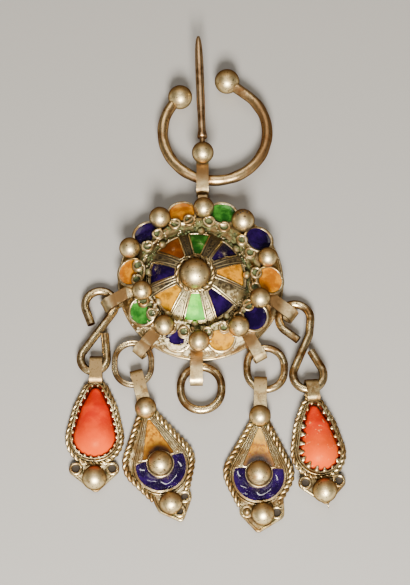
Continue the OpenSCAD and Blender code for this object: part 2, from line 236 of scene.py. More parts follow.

# %% [markdown]
# ### Slow change along the piece
# The far half of the head is painted browner than the near half as shade, and the coral
# carries a painted highlight at its thick end. Vertex paint could hold that. A mask
# that rises along X, Y or Z, or with R, the distance from an upright line near the
# dome's middle, needs no paint and is set by two plain numbers.

# %% Slow change along the piece
UPRIGHT_LINE = [-0.9, -0.5, 0.0]
along, a_in, a_out = new_group(
    "along", {"From": 0.0, "To": 0.02}, ["X", "Y", "Z", "R"])
where = along.nodes.new("ShaderNodeTexCoord")
parts = along.nodes.new("ShaderNodeSeparateXYZ")
along.links.new(where.outputs["Object"], parts.inputs["Vector"])
level = along.nodes.new("ShaderNodeCombineXYZ")
for axis in "XY":
    along.links.new(parts.outputs[axis], level.inputs[axis])
away = along.nodes.new("ShaderNodeVectorMath")
away.operation = "DISTANCE"
along.links.new(level.outputs["Vector"], away.inputs[0])
away.inputs[1].default_value = metres(UPRIGHT_LINE)
for label, value in (("X", parts.outputs["X"]), ("Y", parts.outputs["Y"]),
                     ("Z", parts.outputs["Z"]), ("R", away.outputs["Value"])):
    along.links.new(ranged(along, value, a_in["From"], a_in["To"]), a_out[label])

# %% [markdown]
# ### Dents
# Hammered silver and melted glass are never quite smooth. Two noises, a broad
# one and a fine weak one on top of it, give the height that a bump node reads.

# %% Dents
FINER = 6.0
FINE_SHARE = 0.15
dents, d_in, d_out = new_group("dents", {"Scale": 500.0}, ["Height"])
where = dents.nodes.new("ShaderNodeTexCoord")
big = dents.nodes.new("ShaderNodeTexNoise")
big.inputs["Detail"].default_value = 2.0
fine = dents.nodes.new("ShaderNodeTexNoise")
fine.inputs["Detail"].default_value = 4.0
for n in (big, fine):
    dents.links.new(where.outputs["Object"], n.inputs["Vector"])
dents.links.new(d_in["Scale"], big.inputs["Scale"])
dents.links.new(product(dents, d_in["Scale"], FINER), fine.inputs["Scale"])
weak = product(dents, fine.outputs["Fac"], FINE_SHARE)
dents.links.new(chained(dents, "ADD", big.outputs["Fac"], weak), d_out["Height"])

# %% [markdown]
# ## Masks in a material
# A material is mixed like paint: a mask says where the next colour goes. These
# short functions put a group, a colour mix or a bump into a material, so that
# the recipes below read as a list of layers.

# %% Masks in a material
def new_material(name):
    """a material with its tree and its shader"""
    m = bpy.data.materials.new(name)
    m.use_nodes = True
    return m, m.node_tree, m.node_tree.nodes["Principled BSDF"]


def use_group(tree, group, **values):
    """the outputs of one group with its own values"""
    n = tree.nodes.new("ShaderNodeGroup")
    n.node_tree = group
    for label, value in values.items():
        n.inputs[label].default_value = value
    return n.outputs


def spotted(tree, scale, low, high):
    """a mask of patches"""
    return use_group(tree, patches, Scale=scale, Low=low, High=high)["Mask"]


def zone(tree, axis, start, stop):
    """a mask that rises from start to stop, in metres along X, Y, Z or R"""
    return use_group(tree, along, From=start, To=stop)[axis]


def hollow(tree, reach, **limits):
    """a mask of the places that are closed in, within a reach in metres"""
    return use_group(tree, hollows, Reach=reach, **limits)["Mask"]


def facing(tree, axis):
    """how far the surface faces along an axis of the piece, from -1 to 1"""
    place = tree.nodes.new("ShaderNodeTexCoord")
    split = tree.nodes.new("ShaderNodeSeparateXYZ")
    tree.links.new(place.outputs["Normal"], split.inputs["Vector"])
    return split.outputs[axis]


def mixed(tree, mask, a, b):
    """one colour mix; a and b are sockets or colours"""
    n = tree.nodes.new("ShaderNodeMix")
    n.data_type = "RGBA"
    tree.links.new(mask, n.inputs["Factor"])
    colours = [s for s in n.inputs if s.type == "RGBA"]
    for socket, given in zip(colours, (a, b)):
        plain_colour = not isinstance(given, bpy.types.NodeSocket)
        feed(tree, socket, (*given, 1) if plain_colour else given)
    return [s for s in n.outputs if s.type == "RGBA"][0]


def plain(shader, **values):
    """plain values on the shader's own sockets"""
    for label, value in values.items():
        shader.inputs[label.replace("_", " ")].default_value = value


def add_dents(tree, shader, scale, strength, depth):
    """dents as a bump; depth is in metres"""
    bump = tree.nodes.new("ShaderNodeBump")
    bump.inputs["Strength"].default_value = strength
    bump.inputs["Distance"].default_value = depth
    tree.links.new(use_group(tree, dents, Scale=scale)["Height"], bump.inputs["Height"])
    tree.links.new(bump.outputs["Normal"], shader.inputs["Normal"])


print("shader groups:", [g.name for g in bpy.data.node_groups])

# %% [markdown]
# ## Finishes of the head
# The head is one piece of silver, but its parts have aged apart, and light falls on
# them unevenly. The straps are brushed, the pin is streaked, the ridge is mossy with
# corrosion and the bed near the drops is full of lime. The far half of the dome is
# painted dark as shade and its near half is painted bright as lit; the strap at the
# root of the pin is painted dark as shade, and the hollows near the drops are painted
# pale as lit. Separate materials would need seams in the mesh. Named zones in one
# material keep the borders soft.

# %% Zones of the head
ZONE = {
    "crown": ("Z", 0.0068, 0.0078), "below_crown": ("Z", 0.0078, 0.0070),
    "above_bed": ("Z", 0.0040, 0.0043), "bed": ("Z", 0.0043, 0.0040),
    "dome": ("R", 0.0138, 0.0128), "past_dome": ("R", 0.0125, 0.0140),
    "inside_ridge": ("R", 0.0172, 0.0162), "past_ridge": ("R", 0.0192, 0.0200),
    "inside_rim": ("R", 0.0222, 0.0212), "past_rim": ("R", 0.0226, 0.0232),
    "strap_ends": ("R", 0.0232, 0.0264), "pin_strap": ("Y", 0.0245, 0.0300),
    "pin": ("Y", 0.036, 0.040), "far_half": ("Y", -0.002, 0.005),
    "near_half": ("Y", -0.0030, -0.0075), "near_grooves": ("Y", -0.007, -0.013),
    "near_bed": ("Y", -0.0095, -0.0150),
}
SATIN = ((0.97, 0.80, 0.46), (0.62, 0.42, 0.195))
BESIDE_RIM = (0.26, 0.145, 0.056)
# painted shade on the strap at the root of the pin
PIN_ROOT_SHADE = (0.20, 0.11, 0.043)
STREAKS = ((0.56, 0.37, 0.20), (0.26, 0.145, 0.07))
# painted light: pale flecks for the hollows near the drops, where light falls
NEAR_HOLLOWS_LIGHT = ((0.80, 0.68, 0.44), (0.26, 0.20, 0.10))
MOSS = ((0.20, 0.215, 0.085), (0.055, 0.060, 0.022))
# painted shade over the far half of the dome
FAR_HALF_SHADE, FAR_HALF_SHADE_SHARE = (0.038, 0.026, 0.011), 0.92
LIME = (0.93, 0.81, 0.52)
# painted light over the near half of the dome
NEAR_HALF_LIGHT, NEAR_HALF_LIGHT_SHARE = (1.0, 0.86, 0.46), 0.75


def in_zones(tree, *names):
    """a mask of the places where all the named zones meet"""
    return product(tree, *[zone(tree, *ZONE[name]) for name in names])


print("zones of the head:", len(ZONE))

# %% Layers of the head
def satin_straps(tree, colour):
    """straps that are brushed at their folds, brown beside the rim and painted dark as
    shade at the root of the pin
    """
    lifted = largest(tree, in_zones(tree, "above_bed"), in_zones(tree, "past_rim"))
    satin = mixed(tree, spotted(tree, 480, 0.34, 0.66), *SATIN)
    satin = mixed(tree, in_zones(tree, "strap_ends"), BESIDE_RIM, satin)
    # painted shade on the strap at the root of the pin
    satin = mixed(tree, in_zones(tree, "pin_strap"), satin, PIN_ROOT_SHADE)
    straps = product(tree, in_zones(tree, "past_ridge"), lifted)
    return mixed(tree, straps, colour, satin)


def streaked_pin(tree, colour):
    """a pin of two browns"""
    streaks = mixed(tree, spotted(tree, 300, 0.42, 0.60), *STREAKS)
    return mixed(tree, in_zones(tree, "pin"), colour, streaks)


def head_layers(tree, colour, dirt_and_shade, hide):
    """all that lies on the head, with its painted shade and light; hide is the mask of
    what isn't bare metal, the painted shade of the far half included
    """
    flecks = spotted(tree, 1100, 0.40, 0.60)
    upward = ranged(tree, facing(tree, "Z"), -0.3, 0.1)
    colour = streaked_pin(tree, satin_straps(tree, colour))
    # painted light: the hollows near the drops are painted pale
    dirt_and_shade = mixed(tree, in_zones(tree, "near_grooves"), dirt_and_shade,
                 mixed(tree, flecks, *NEAR_HOLLOWS_LIGHT))
    moss = mixed(tree, flecks, *MOSS)
    mossy = product(
        tree, upward, in_zones(tree, "past_dome", "inside_ridge", "below_crown"),
        spotted(tree, 420, 0.36, 0.56))
    colour = mixed(tree, mossy, colour, moss)
    dirt_and_shade = mixed(tree, mossy, dirt_and_shade, moss)
    # painted shade: the far half of the dome is darkened
    far_shade = product(tree, in_zones(tree, "dome", "far_half"), FAR_HALF_SHADE_SHARE)
    colour = mixed(tree, far_shade, colour, FAR_HALF_SHADE)
    limed = product(
        tree, upward, in_zones(tree, "near_bed", "inside_rim", "bed"),
        spotted(tree, 380, 0.40, 0.56))
    colour = mixed(tree, limed, colour, LIME)
    return colour, dirt_and_shade, largest(tree, hide, mossy, limed, far_shade)


def lit_near_half(tree, colour):
    """painted light: the near half of the dome is painted bright over everything else
    """
    near = product(tree, in_zones(tree, "dome", "near_half"), NEAR_HALF_LIGHT_SHARE)
    return mixed(tree, near, colour, NEAR_HALF_LIGHT)


print("layers of the head ready")

# %% [markdown]
# ## Old silver
# The alloy is warm. Worn places are cream, quiet places are brown, and the hollows are
# nearly black, with dirt, painted shade and a green bloom from the copper in the metal.
# A picture of old silver could be laid on, but it would stretch over the balls and
# wires. This material mixes the four colours by the masks of the groups. Dirt isn't
# metal, so it also lowers Metallic and raises Roughness. Steep flanks, where the
# surface turns away from the camera, get painted shade in brown.

# %% Old silver
# the nearly black of the hollows is dirt and painted shade together
DIRT_AND_SHADE = (0.036, 0.018, 0.007)
BLOOM = (0.075, 0.085, 0.030)
# painted shade: the brown of the outline, where the surface turns away from the camera
OUTLINE_SHADE = (0.075, 0.042, 0.017)
PIT_DARKER = 0.55
METAL_LEFT = 0.25
CROWN_QUIET = 0.25
DIRT_ROUGHER = 0.3


def old_silver(name, worn, quiet, bloom=True, rough=(0.30, 0.45), reach=0.0011,
               patch=260, wear=(0.40, 0.62), slow_change=None, dent=(420, 0.35),
               head=False, far_side_shade=0.0, outline_shade=(0.22, 0.85, 0.86)):
    """silver that is worn on top, brown between, and dark in the hollows with dirt and
    painted shade
    """
    m, tree, shader = new_material(name)
    brown_and_shade_mask = spotted(tree, patch, *wear)
    if slow_change:
        *limits, share = slow_change
        brown_and_shade_mask = largest(
            tree, brown_and_shade_mask, product(tree, zone(tree, *limits), share))
    # painted shade: the side that faces away along Y turns brown
    if far_side_shade:
        brown_and_shade_mask = largest(tree, brown_and_shade_mask, ranged(
            tree, facing(tree, "Y"), -0.38, 0.34, 0.0, far_side_shade))
    if head:
        brown_and_shade_mask = product(tree, brown_and_shade_mask, ranged(
            tree, in_zones(tree, "crown"), 0.0, 1.0, 1.0, CROWN_QUIET))
    colour = mixed(tree, brown_and_shade_mask, worn, quiet)
    colour = mixed(tree, spotted(tree, 1500, 0.58, 0.66), colour,
                   [c * PIT_DARKER for c in quiet])
    deep = hollow(tree, reach)
    hide, dirt_and_shade = deep, DIRT_AND_SHADE
    if bloom:
        dirt_and_shade = mixed(tree, spotted(tree, 700, 0.42, 0.60), DIRT_AND_SHADE, BLOOM)
    if head:
        colour, dirt_and_shade, hide = head_layers(tree, colour, dirt_and_shade, hide)
    # dirt and painted shade in the hollows
    colour = mixed(tree, deep, colour, dirt_and_shade)
    # painted light on the near half of the dome
    if head:
        colour = lit_near_half(tree, colour)
    # painted shade: the outline turns brown where the surface turns away from the
    # camera
    steep = tree.nodes.new("ShaderNodeLayerWeight")
    steep.inputs["Blend"].default_value = 0.5
    low, high, share = outline_shade
    outline_mask = ranged(tree, steep.outputs["Facing"], low, high, 0.0, share)
    tree.links.new(
        mixed(tree, outline_mask, colour, OUTLINE_SHADE), shader.inputs["Base Color"])
    tree.links.new(
        ranged(tree, hide, 0.2, 1.0, 1.0, METAL_LEFT), shader.inputs["Metallic"])
    tree.links.new(
        chained(tree, "ADD", ranged(tree, brown_and_shade_mask, 0.0, 1.0, *rough),
                product(tree, hide, DIRT_ROUGHER)), shader.inputs["Roughness"])
    plain(shader, Specular_Tint=(0.42, 0.27, 0.15, 1))
    add_dents(tree, shader, *dent, 0.0002)
    return m


# %% The silvers
# the head's slow change along Y is painted shade: its far half is browner
head_silver = old_silver(
    "head_silver", (0.95, 0.77, 0.42), (0.33, 0.19, 0.07), head=True,
    wear=(0.38, 0.58), slow_change=("Y", -0.004, 0.010, 0.75), dent=(520, 0.6),
    rough=(0.34, 0.50), reach=0.0014)
wire_silver = old_silver(
    "wire_silver", (0.97, 0.80, 0.47), (0.46, 0.29, 0.115),
    reach=0.0005, rough=(0.28, 0.42))
rope_silver = old_silver(
    "rope_silver", (0.88, 0.70, 0.38), (0.36, 0.220, 0.085),
    reach=0.0009, rough=(0.28, 0.42))
link_silver = old_silver(
    "link_silver", (0.99, 0.78, 0.43), (0.24, 0.130, 0.047), bloom=False,
    patch=230, wear=(0.42, 0.60), rough=(0.27, 0.40), dent=(260, 0.25),
    outline_shade=(0.12, 0.66, 0.95))
drop_silver = old_silver(
    "drop_silver", (0.95, 0.77, 0.42), (0.32, 0.19, 0.072),
    rough=(0.32, 0.46), slow_change=("Y", -0.0355, -0.0300, 0.85), dent=(420, 0.5))
# far_side_shade paints the far side of each ball brown as shade
ball_silver = old_silver(
    "ball_silver", (1.0, 0.81, 0.44), (0.36, 0.215, 0.082),
    patch=330, wear=(0.50, 0.72), rough=(0.40, 0.54), dent=(300, 0.5),
    far_side_shade=0.95, outline_shade=(0.26, 0.88, 0.88))
ring_silver = old_silver(
    "ring_silver", (0.74, 0.52, 0.255), (0.29, 0.14, 0.053), bloom=False,
    patch=230, wear=(0.44, 0.66), rough=(0.32, 0.44),
    slow_change=("X", 0.011, 0.016, 0.8), dent=(380, 0.5), outline_shade=(0.18, 0.78, 0.93))
print("silvers:", [m.name for m in bpy.data.materials if "silver" in m.name])

# %% [markdown]
# ## Crusts
# Copper in the silver grows green verdigris, and the ground leaves pale lime. A crust
# is dull and rough, so it needs no metal at all: two colours in patches over a strong
# fine bump are enough. The gaps between the cells get the same kind of dull sheet as
# painted shade, paler towards the drops. A flat dark brown is painted shade in the
# seams, the pits and the fills of the foot curls, where nothing but darkness shows.

# %% Crusts
def crust(name, colours, spots, rough, near_drops=None):
    """a dull crust; near_drops is its pair of colours towards the drops"""
    m, tree, shader = new_material(name)
    mask = spotted(tree, *spots)
    colour = mixed(tree, mask, *colours)
    if near_drops:
        colour = mixed(tree, zone(tree, "Y", -0.0035, -0.0085), colour,
                       mixed(tree, mask, *near_drops))
        plain(shader, Specular_IOR_Level=0.15)
    tree.links.new(colour, shader.inputs["Base Color"])
    plain(shader, Roughness=rough)
    add_dents(tree, shader, 1500, 0.8, 0.0003)
    return m


verdigris = crust(
    "verdigris", ((0.034, 0.042, 0.012), (0.125, 0.155, 0.055)),
    (900, 0.40, 0.62), 0.75)
# painted shade for the gaps between the cells, paler towards the drops
tarnish = crust(
    "tarnish", ((0.018, 0.012, 0.005), (0.075, 0.053, 0.023)),
    (1000, 0.42, 0.62), 0.7, near_drops=((0.15, 0.10, 0.040), (0.80, 0.66, 0.36)))
lime_crust = crust(
    "lime_crust", ((0.93, 0.82, 0.54), (0.42, 0.32, 0.14)),
    (1100, 0.40, 0.62), 0.6)
# a flat dark brown of painted shade for seams, pits and curls
soot, _, shader = new_material("soot")
plain(shader, Base_Color=(0.020, 0.013, 0.006, 1), Roughness=0.7)
print("crusts:", verdigris.name, tarnish.name, lime_crust.name, soot.name)

# %% [markdown]
# ## Enamel
# Enamel is glass that was melted into the cells. It is glossy, a little wavy and never
# of one colour, and painted shade darkens it at the wires. Real glass with light
# passing through it renders slowly. A coat over a coloured base gives the clear skin at
# a low cost. The yellows are worn dull, so their coat is thin. On the drops a ring of
# painted shadow surrounds the ball, and the right one is worn pale at its top.

# %% Enamel
WORN_YELLOW = (0.80, 0.55, 0.13)
WORN_SHARE = 0.60
# the painted shadow round a drop's ball, from its inner to its outer reach in metres
BALL_SHADOW_INNER, BALL_SHADOW_OUTER = 0.0030, 0.0068


def shadow_round_ball(tree, x, y):
    """a mask of the painted shadow round a ball, from millimetres"""
    place = tree.nodes.new("ShaderNodeTexCoord")
    far = tree.nodes.new("ShaderNodeVectorMath")
    far.operation = "DISTANCE"
    tree.links.new(place.outputs["Object"], far.inputs[0])
    far.inputs[1].default_value = metres([x, y, 1.5])
    fading = ranged(tree, far.outputs["Value"], BALL_SHADOW_INNER, BALL_SHADOW_OUTER, 1.0, 0.0)
    uneven = ranged(tree, spotted(tree, 900, 0.30, 0.60), 0.0, 1.0, 0.55, 1.0)
    return product(tree, fading, uneven)


def enamel(name, deep, light, edge, spread=(0.40, 0.66), scale=260, rough=0.14,
           coat=0.5, wave=(300, 0.0004), shade_reach=0.0007, ball_shadow=None, worn_end=None):
    """glass enamel that is cloudy, with painted shade at its edges"""
    m, tree, shader = new_material(name)
    colour = mixed(tree, spotted(tree, scale, *spread), deep, light)
    # painted shade where the wires close in
    colour = mixed(tree, hollow(tree, shade_reach, Low=0.3, High=0.9), colour, edge)
    if worn_end:
        worn = product(tree, zone(tree, "Y", *worn_end), WORN_SHARE)
        colour = mixed(tree, worn, colour, WORN_YELLOW)
    # painted shadow of the ball on the glass round it
    if ball_shadow:
        colour = mixed(tree, shadow_round_ball(tree, *ball_shadow), colour, edge)
    tree.links.new(colour, shader.inputs["Base Color"])
    plain(shader, Roughness=rough, Coat_Weight=coat, Coat_Roughness=0.05,
          Specular_IOR_Level=0.15)
    add_dents(tree, shader, wave[0], 0.6, wave[1])
    return m


# %% The enamels
blue_glass = enamel(
    "blue_enamel", (0.004, 0.001, 0.017), (0.015, 0.003, 0.060),
    (0.002, 0.001, 0.006), wave=(330, 0.0009), coat=0.4, rough=0.10)
green_glass = enamel(
    "green_enamel", (0.012, 0.085, 0.010), (0.050, 0.23, 0.026),
    (0.006, 0.022, 0.004), scale=420, coat=0.3)
light_green_glass = enamel(
    "light_green_enamel", (0.055, 0.47, 0.016), (0.19, 0.84, 0.045),
    (0.02, 0.15, 0.010), coat=0.0, rough=0.45, scale=420)
yellow_glass = enamel(
    "yellow_enamel", (0.30, 0.105, 0.0005), (0.70, 0.29, 0.0005),
    (0.09, 0.024, 0.001), scale=640, spread=(0.34, 0.58), coat=0.04,
    rough=0.36, shade_reach=0.0016)
low_yellow_glass = enamel(
    "low_yellow_enamel", (0.27, 0.106, 0.0002), (0.62, 0.285, 0.0002),
    (0.09, 0.026, 0.001), scale=520, spread=(0.32, 0.58), coat=0.03,
    rough=0.38, shade_reach=0.0014)
orange_glass = enamel(
    "orange_enamel", (0.32, 0.090, 0.001), (0.60, 0.23, 0.001),
    (0.10, 0.022, 0.001), scale=420, coat=0.12, rough=0.28)
brown_glass = enamel(
    "brown_enamel", (0.12, 0.026, 0.001), (0.26, 0.064, 0.002),
    (0.05, 0.012, 0.001), coat=0.15, rough=0.28)
yellow_left_glass, yellow_right_glass = [enamel(
    name, (0.25, 0.080, 0.001), (0.60, 0.26, 0.002), (0.045, 0.014, 0.001),
    scale=900, spread=(0.40, 0.58), coat=0.05, rough=0.38, shade_reach=0.0010,
    ball_shadow=ball_shadow, worn_end=worn_end) for name, ball_shadow, worn_end in (
        ("yellow_of_left_drop", (-10.9, -50.6), None),
        ("yellow_of_right_drop", (15.45, -53.2), (-0.0480, -0.0440)))]
drop_blue_glass = enamel(
    "blue_enamel_of_drops", (0.005, 0.001, 0.020), (0.018, 0.004, 0.070),
    (0.002, 0.001, 0.007), wave=(380, 0.0013), coat=1.0, rough=0.10)
print("finishes so far:", [m.name for m in bpy.data.materials])

# %% [markdown]
# ## Coral
# Coral is waxy and takes a soft polish. It is red-orange with paler clouds, and the
# thick end of each stone carries a painted highlight in pale orange. The right stone
# has fine pale cracks, and painted shade darkens each stone under its teeth. A dull
# base with a warm tint on its highlight looks like wax, and needs no slow light inside
# the stone.

# %% Coral
CORAL_CLOUDS = ((0.62, 0.015, 0.0001), (0.84, 0.044, 0.0001))
# painted highlight: the pale orange of the thick end
CORAL_THICK_END_HIGHLIGHT, THICK_END_HIGHLIGHT_SHARE = (0.90, 0.135, 0.0002), 0.58
CORAL_CRACK, CRACK_SHARE = (0.98, 0.42, 0.16), 0.65
# painted shade under the teeth
CORAL_SHADE_UNDER_TEETH = (0.20, 0.008, 0.003)
coral, tree, shader = new_material("coral")
colour = mixed(tree, spotted(tree, 260, 0.40, 0.70), *CORAL_CLOUDS)
# painted highlight on the thick end of each stone
thick_end_highlight = product(tree, zone(tree, "Y", -0.040, -0.052), THICK_END_HIGHLIGHT_SHARE)
colour = mixed(tree, thick_end_highlight, colour, CORAL_THICK_END_HIGHLIGHT)
cracks = product(
    tree, spotted(tree, 820, 0.60, 0.68), zone(tree, "X", 0.010, 0.020),
    CRACK_SHARE)
colour = mixed(tree, cracks, colour, CORAL_CRACK)
# painted shade where the teeth close over the stone
shade_under_teeth = hollow(tree, 0.0016, Low=0.2, High=0.8)
colour = mixed(tree, shade_under_teeth, colour, CORAL_SHADE_UNDER_TEETH)
tree.links.new(colour, shader.inputs["Base Color"])
plain(shader, Roughness=0.36, Specular_IOR_Level=0.14,
      Specular_Tint=(1.0, 0.62, 0.26, 1))
add_dents(tree, shader, 330, 0.5, 0.0002)
print("coral nodes:", len(tree.nodes))

# %% [markdown]
# ## Floor finish
# The floor is plain, pale and dull, so that it lights the metal evenly from
# below and shows no reflection.

# %% Floor finish
pale, _, shader = new_material("pale_floor")
plain(shader, Base_Color=(0.40, 0.39, 0.376, 1), Roughness=0.7)
floor.data.materials.append(pale)
print("floor finish:", pale.name)

# %% [markdown]
# ## Finishes on the solids
# Each solid from the CAD model takes one finish. Most finishes follow from a
# word in the solid's name, and a short table holds the ones that don't. The
# solids aren't moved or changed.

# %% Finishes on the solids
FINISH = {
    "head": head_silver, "ring": ring_silver,
    "coral_left": coral, "coral_right": coral,
    "cell_green_bottom": light_green_glass, "cell_orange_top": brown_glass,
    "petal_orange_bottom": low_yellow_glass,
    "cell_yellow_left": low_yellow_glass,
    "drop_left_yellow": yellow_left_glass,
    "drop_right_yellow": yellow_right_glass,
}
FINISH_OF_WORD = {
    "hook": link_silver, "jump_ring": link_silver, "blue": blue_glass,
    "green": green_glass, "yellow": yellow_glass, "orange": orange_glass,
}


def finish_of(node):
    """the finish of one solid, from its name"""
    if node in FINISH:
        return FINISH[node]
    for word, finish in FINISH_OF_WORD.items():
        if word in node:
            return finish
    return drop_silver


for node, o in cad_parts.items():
    o.data.materials.clear()
    o.data.materials.append(finish_of(node))
    for face in o.data.polygons:
        face.material_index = 0
print("finished solids:", len(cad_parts))

# %% [markdown]
# ## Fine work in wire
# Most of the rest is wire. A wire is a tube along a path, and a rope is two
# tubes that wind round one path. Curves with a bevel could make both. Points in
# mesh code are used because a twisted pair needs them anyway. The paths of the
# edges are belts laid over round pegs, the same pegs that the CAD model uses.
# Everything is measured in millimetres from the head's middle and turned into
# metres when the mesh is made.

# %% Belts over pegs
SAME = 1e-3
FULL_TURN = 2 * math.pi


def straight_legs(rows, closed):
    """the straight runs between pegs, each as direction, length and start"""
    n = len(rows)
    legs = []
    for i in range(n if closed else n - 1):
        a, b = rows[i], rows[(i + 1) % n]
        dx, dy = b[0] - a[0], b[1] - a[1]
        k = b[2] * b[3] - a[2] * a[3]
        run = math.sqrt(max(0, dx * dx + dy * dy - k * k))
        way = math.atan2(dy, dx) - math.atan2(k, run)
        start = (a[0] + a[2] * a[3] * math.sin(way),
                 a[1] - a[2] * a[3] * math.cos(way))
        legs.append((way, run, start))
    return legs


def belt(rows, closed=True, step=0.35):
    """points along a belt over pegs; a row is x, y, radius and way round"""
    n = len(rows)
    legs = straight_legs(rows, closed)
    points = []
    for i, (way, run, start) in enumerate(legs):
        count = max(1, int(run / step))
        for t in range(count + 1):
            points.append((start[0] + math.cos(way) * run * t / count,
                           start[1] + math.sin(way) * run * t / count))
        if closed or i < n - 2:
            x, y, r, hand = rows[(i + 1) % n]
            sweep = ((legs[(i + 1) % len(legs)][0] - way) * hand) % FULL_TURN
            if r > 0 and sweep < 6.2:
                first = way - math.pi / 2 * hand
                count = max(2, int(r * sweep / step))
                for t in range(1, count):
                    turn = first + hand * sweep * t / count
                    points.append((x + r * math.cos(turn), y + r * math.sin(turn)))
    points = np.array(points)
    keep = np.r_[True, np.hypot(*np.diff(points, axis=0).T) > SAME]
    points = points[keep]
    if closed and np.hypot(*(points[0] - points[-1])) < SAME:
        points = points[:-1]
    return points


def grown(rows, g):
    """the same pegs, thicker"""
    return [(x, y, r + g, way) for x, y, r, way in rows]


print("belt round two pegs:", len(belt([(0, 0, 3, 1), (0, 9, 1, 1)])), "points")

# %% Paths
def even(points, step, closed=False):
    """the same path with evenly spaced points"""
    points = np.asarray(points, float)
    if closed:
        points = np.vstack([points, points[:1]])
    s = np.r_[0, np.cumsum(np.linalg.norm(np.diff(points, axis=0), axis=1))]
    count = max(4, int(round(s[-1] / step)))
    at = np.linspace(0, s[-1], count + 1)
    out = np.stack([np.interp(at, s, c) for c in points.T], axis=1)
    return out[:-1] if closed else out


def softened(points, times):
    """the same closed path with its corners rounded"""
    for _ in range(times):
        points = (np.roll(points, 1, 0) + 2 * points
                  + np.roll(points, -1, 0)) / 4
    return points


def raised(points, z):
    """a flat path at one height"""
    points = np.asarray(points, float)
    return np.column_stack([points[:, :2], np.full(len(points), float(z))])


def ring_path(at, r, step=0.35, first=0, sweep=360):
    """a circle or an arc about a point, in a level plane"""
    count = max(8, int(math.radians(abs(sweep)) * r / step))
    turn = np.radians(np.linspace(first, first + sweep, count + 1))
    if sweep == 360:
        turn = turn[:-1]
    return np.column_stack([at[0] + r * np.cos(turn), at[1] + r * np.sin(turn),
                            np.full(len(turn), float(at[2]))])


def turned(points, x=0.0, y=0.0, z=0.0):
    """points turned about the axes, X first, in degrees"""
    points = np.asarray(points, float)
    for axis, angle in ((0, x), (1, y), (2, z)):
        c, s = math.cos(math.radians(angle)), math.sin(math.radians(angle))
        a, b = [(1, 2), (2, 0), (0, 1)][axis]
        out = points.copy()
        out[:, a] = c * points[:, a] - s * points[:, b]
        out[:, b] = s * points[:, a] + c * points[:, b]
        points = out
    return points


print("circle of 5 mm:", len(ring_path((0, 0, 0), 5)), "points")

# %% [markdown]
# ### Tubes and ropes
# A tube needs two directions across its path at every point. They come from one
# fixed upward direction, so a tube never twists by itself, and a rope has only
# the twist that is asked for.

# %% Tubes and ropes
def band_faces(rows, sides, first=0, closed=False, flip=False):
    """faces between rows of points that run round"""
    i = np.arange(rows if closed else rows - 1)[:, None]
    j = np.arange(sides)[None, :]
    k = (j + 1) % sides
    after = (i + 1) % rows
    corners = [i * sides + j, i * sides + k, after * sides + k, after * sides + j]
    if flip:
        corners = [corners[q] for q in (0, 3, 2, 1)]
    return (np.stack(corners, axis=-1).reshape(-1, 4) + first).tolist()


def across(path, closed, up):
    """two directions across a path: sideways and upward"""
    if closed:
        along_it = np.roll(path, -1, 0) - np.roll(path, 1, 0)
    else:
        along_it = np.gradient(path, axis=0)
    along_it /= np.linalg.norm(along_it, axis=1)[:, None]
    up = np.broadcast_to(np.asarray(up, float), path.shape)
    side = np.cross(up, along_it)
    side /= np.linalg.norm(side, axis=1)[:, None]
    return side, np.cross(along_it, side)


def tube(path, r, sides=10, closed=False, up=(0, 0, 1), flat=1.0):
    """vertices and faces of a round wire; flat squeezes it upward"""
    path = np.asarray(path, float)
    n = len(path)
    r = np.broadcast_to(np.asarray(r, float), (n,))
    side, top = across(path, closed, up)
    turn = np.linspace(0, FULL_TURN, sides, endpoint=False)
    verts = (path[:, None] + r[:, None, None] * (
        np.cos(turn)[None, :, None] * side[:, None]
        + flat * np.sin(turn)[None, :, None] * top[:, None])).reshape(-1, 3)
    faces = band_faces(n, sides, closed=closed)
    if not closed:
        faces.append(list(range(sides))[::-1])
        faces.append([(n - 1) * sides + q for q in range(sides)])
    return verts, faces


def rope(path, strand, lead, closed=True):
    """two wires that wind round one path; lead is the length of one turn"""
    path = even(path, lead / 16, closed)
    side, top = across(path, closed, (0, 0, 1))
    step = np.linalg.norm(np.diff(path, axis=0), axis=1)
    s = np.r_[0, np.cumsum(step)]
    total = s[-1] + (np.linalg.norm(path[0] - path[-1]) if closed else 0)
    turns = max(1, round(total / lead)) if closed else total / lead
    out = []
    for half in (0, math.pi):
        turn = half + FULL_TURN * turns * s / total
        middle = path + strand * (np.cos(turn)[:, None] * side
                                  + np.sin(turn)[:, None] * top)
        out.append(tube(middle, strand * 1.1, 9, closed))
    return out


print("a rope of two strands has", sum(
    len(f) for _, f in rope(ring_path((0, 0, 0), 5), 0.3, 3.3)), "faces")

# %% [markdown]
# ### Beads and dishes
# A bead is a ball of rings and sides, and a dish is a round skin with a short
# profile. Blender has a ball of its own. These are kept as lists of points and
# faces, like the tubes, so that hundreds of them fit into one mesh.

# %% Beads and dishes
# rings and sides of a bead, by its size
LARGE = (24, 44)
SMALL = (6, 10)
TINY = (5, 7)


def ball(at, r, rings, sides):
    """a round bead"""
    lat = np.linspace(0, math.pi, rings + 1)[1:-1]
    lon = np.linspace(0, FULL_TURN, sides, endpoint=False)
    verts = [[0, 0, 1]]
    verts += [[math.sin(a) * math.cos(b), math.sin(a) * math.sin(b), math.cos(a)]
              for a in lat for b in lon]
    verts += [[0, 0, -1]]
    faces = [[0, 1 + j, 1 + (j + 1) % sides] for j in range(sides)]
    faces += band_faces(len(lat), sides, first=1, flip=True)
    last = len(verts) - 1
    base = 1 + (len(lat) - 1) * sides
    faces += [[last, base + (j + 1) % sides, base + j] for j in range(sides)]
    return np.array(verts) * r + np.asarray(at, float), faces


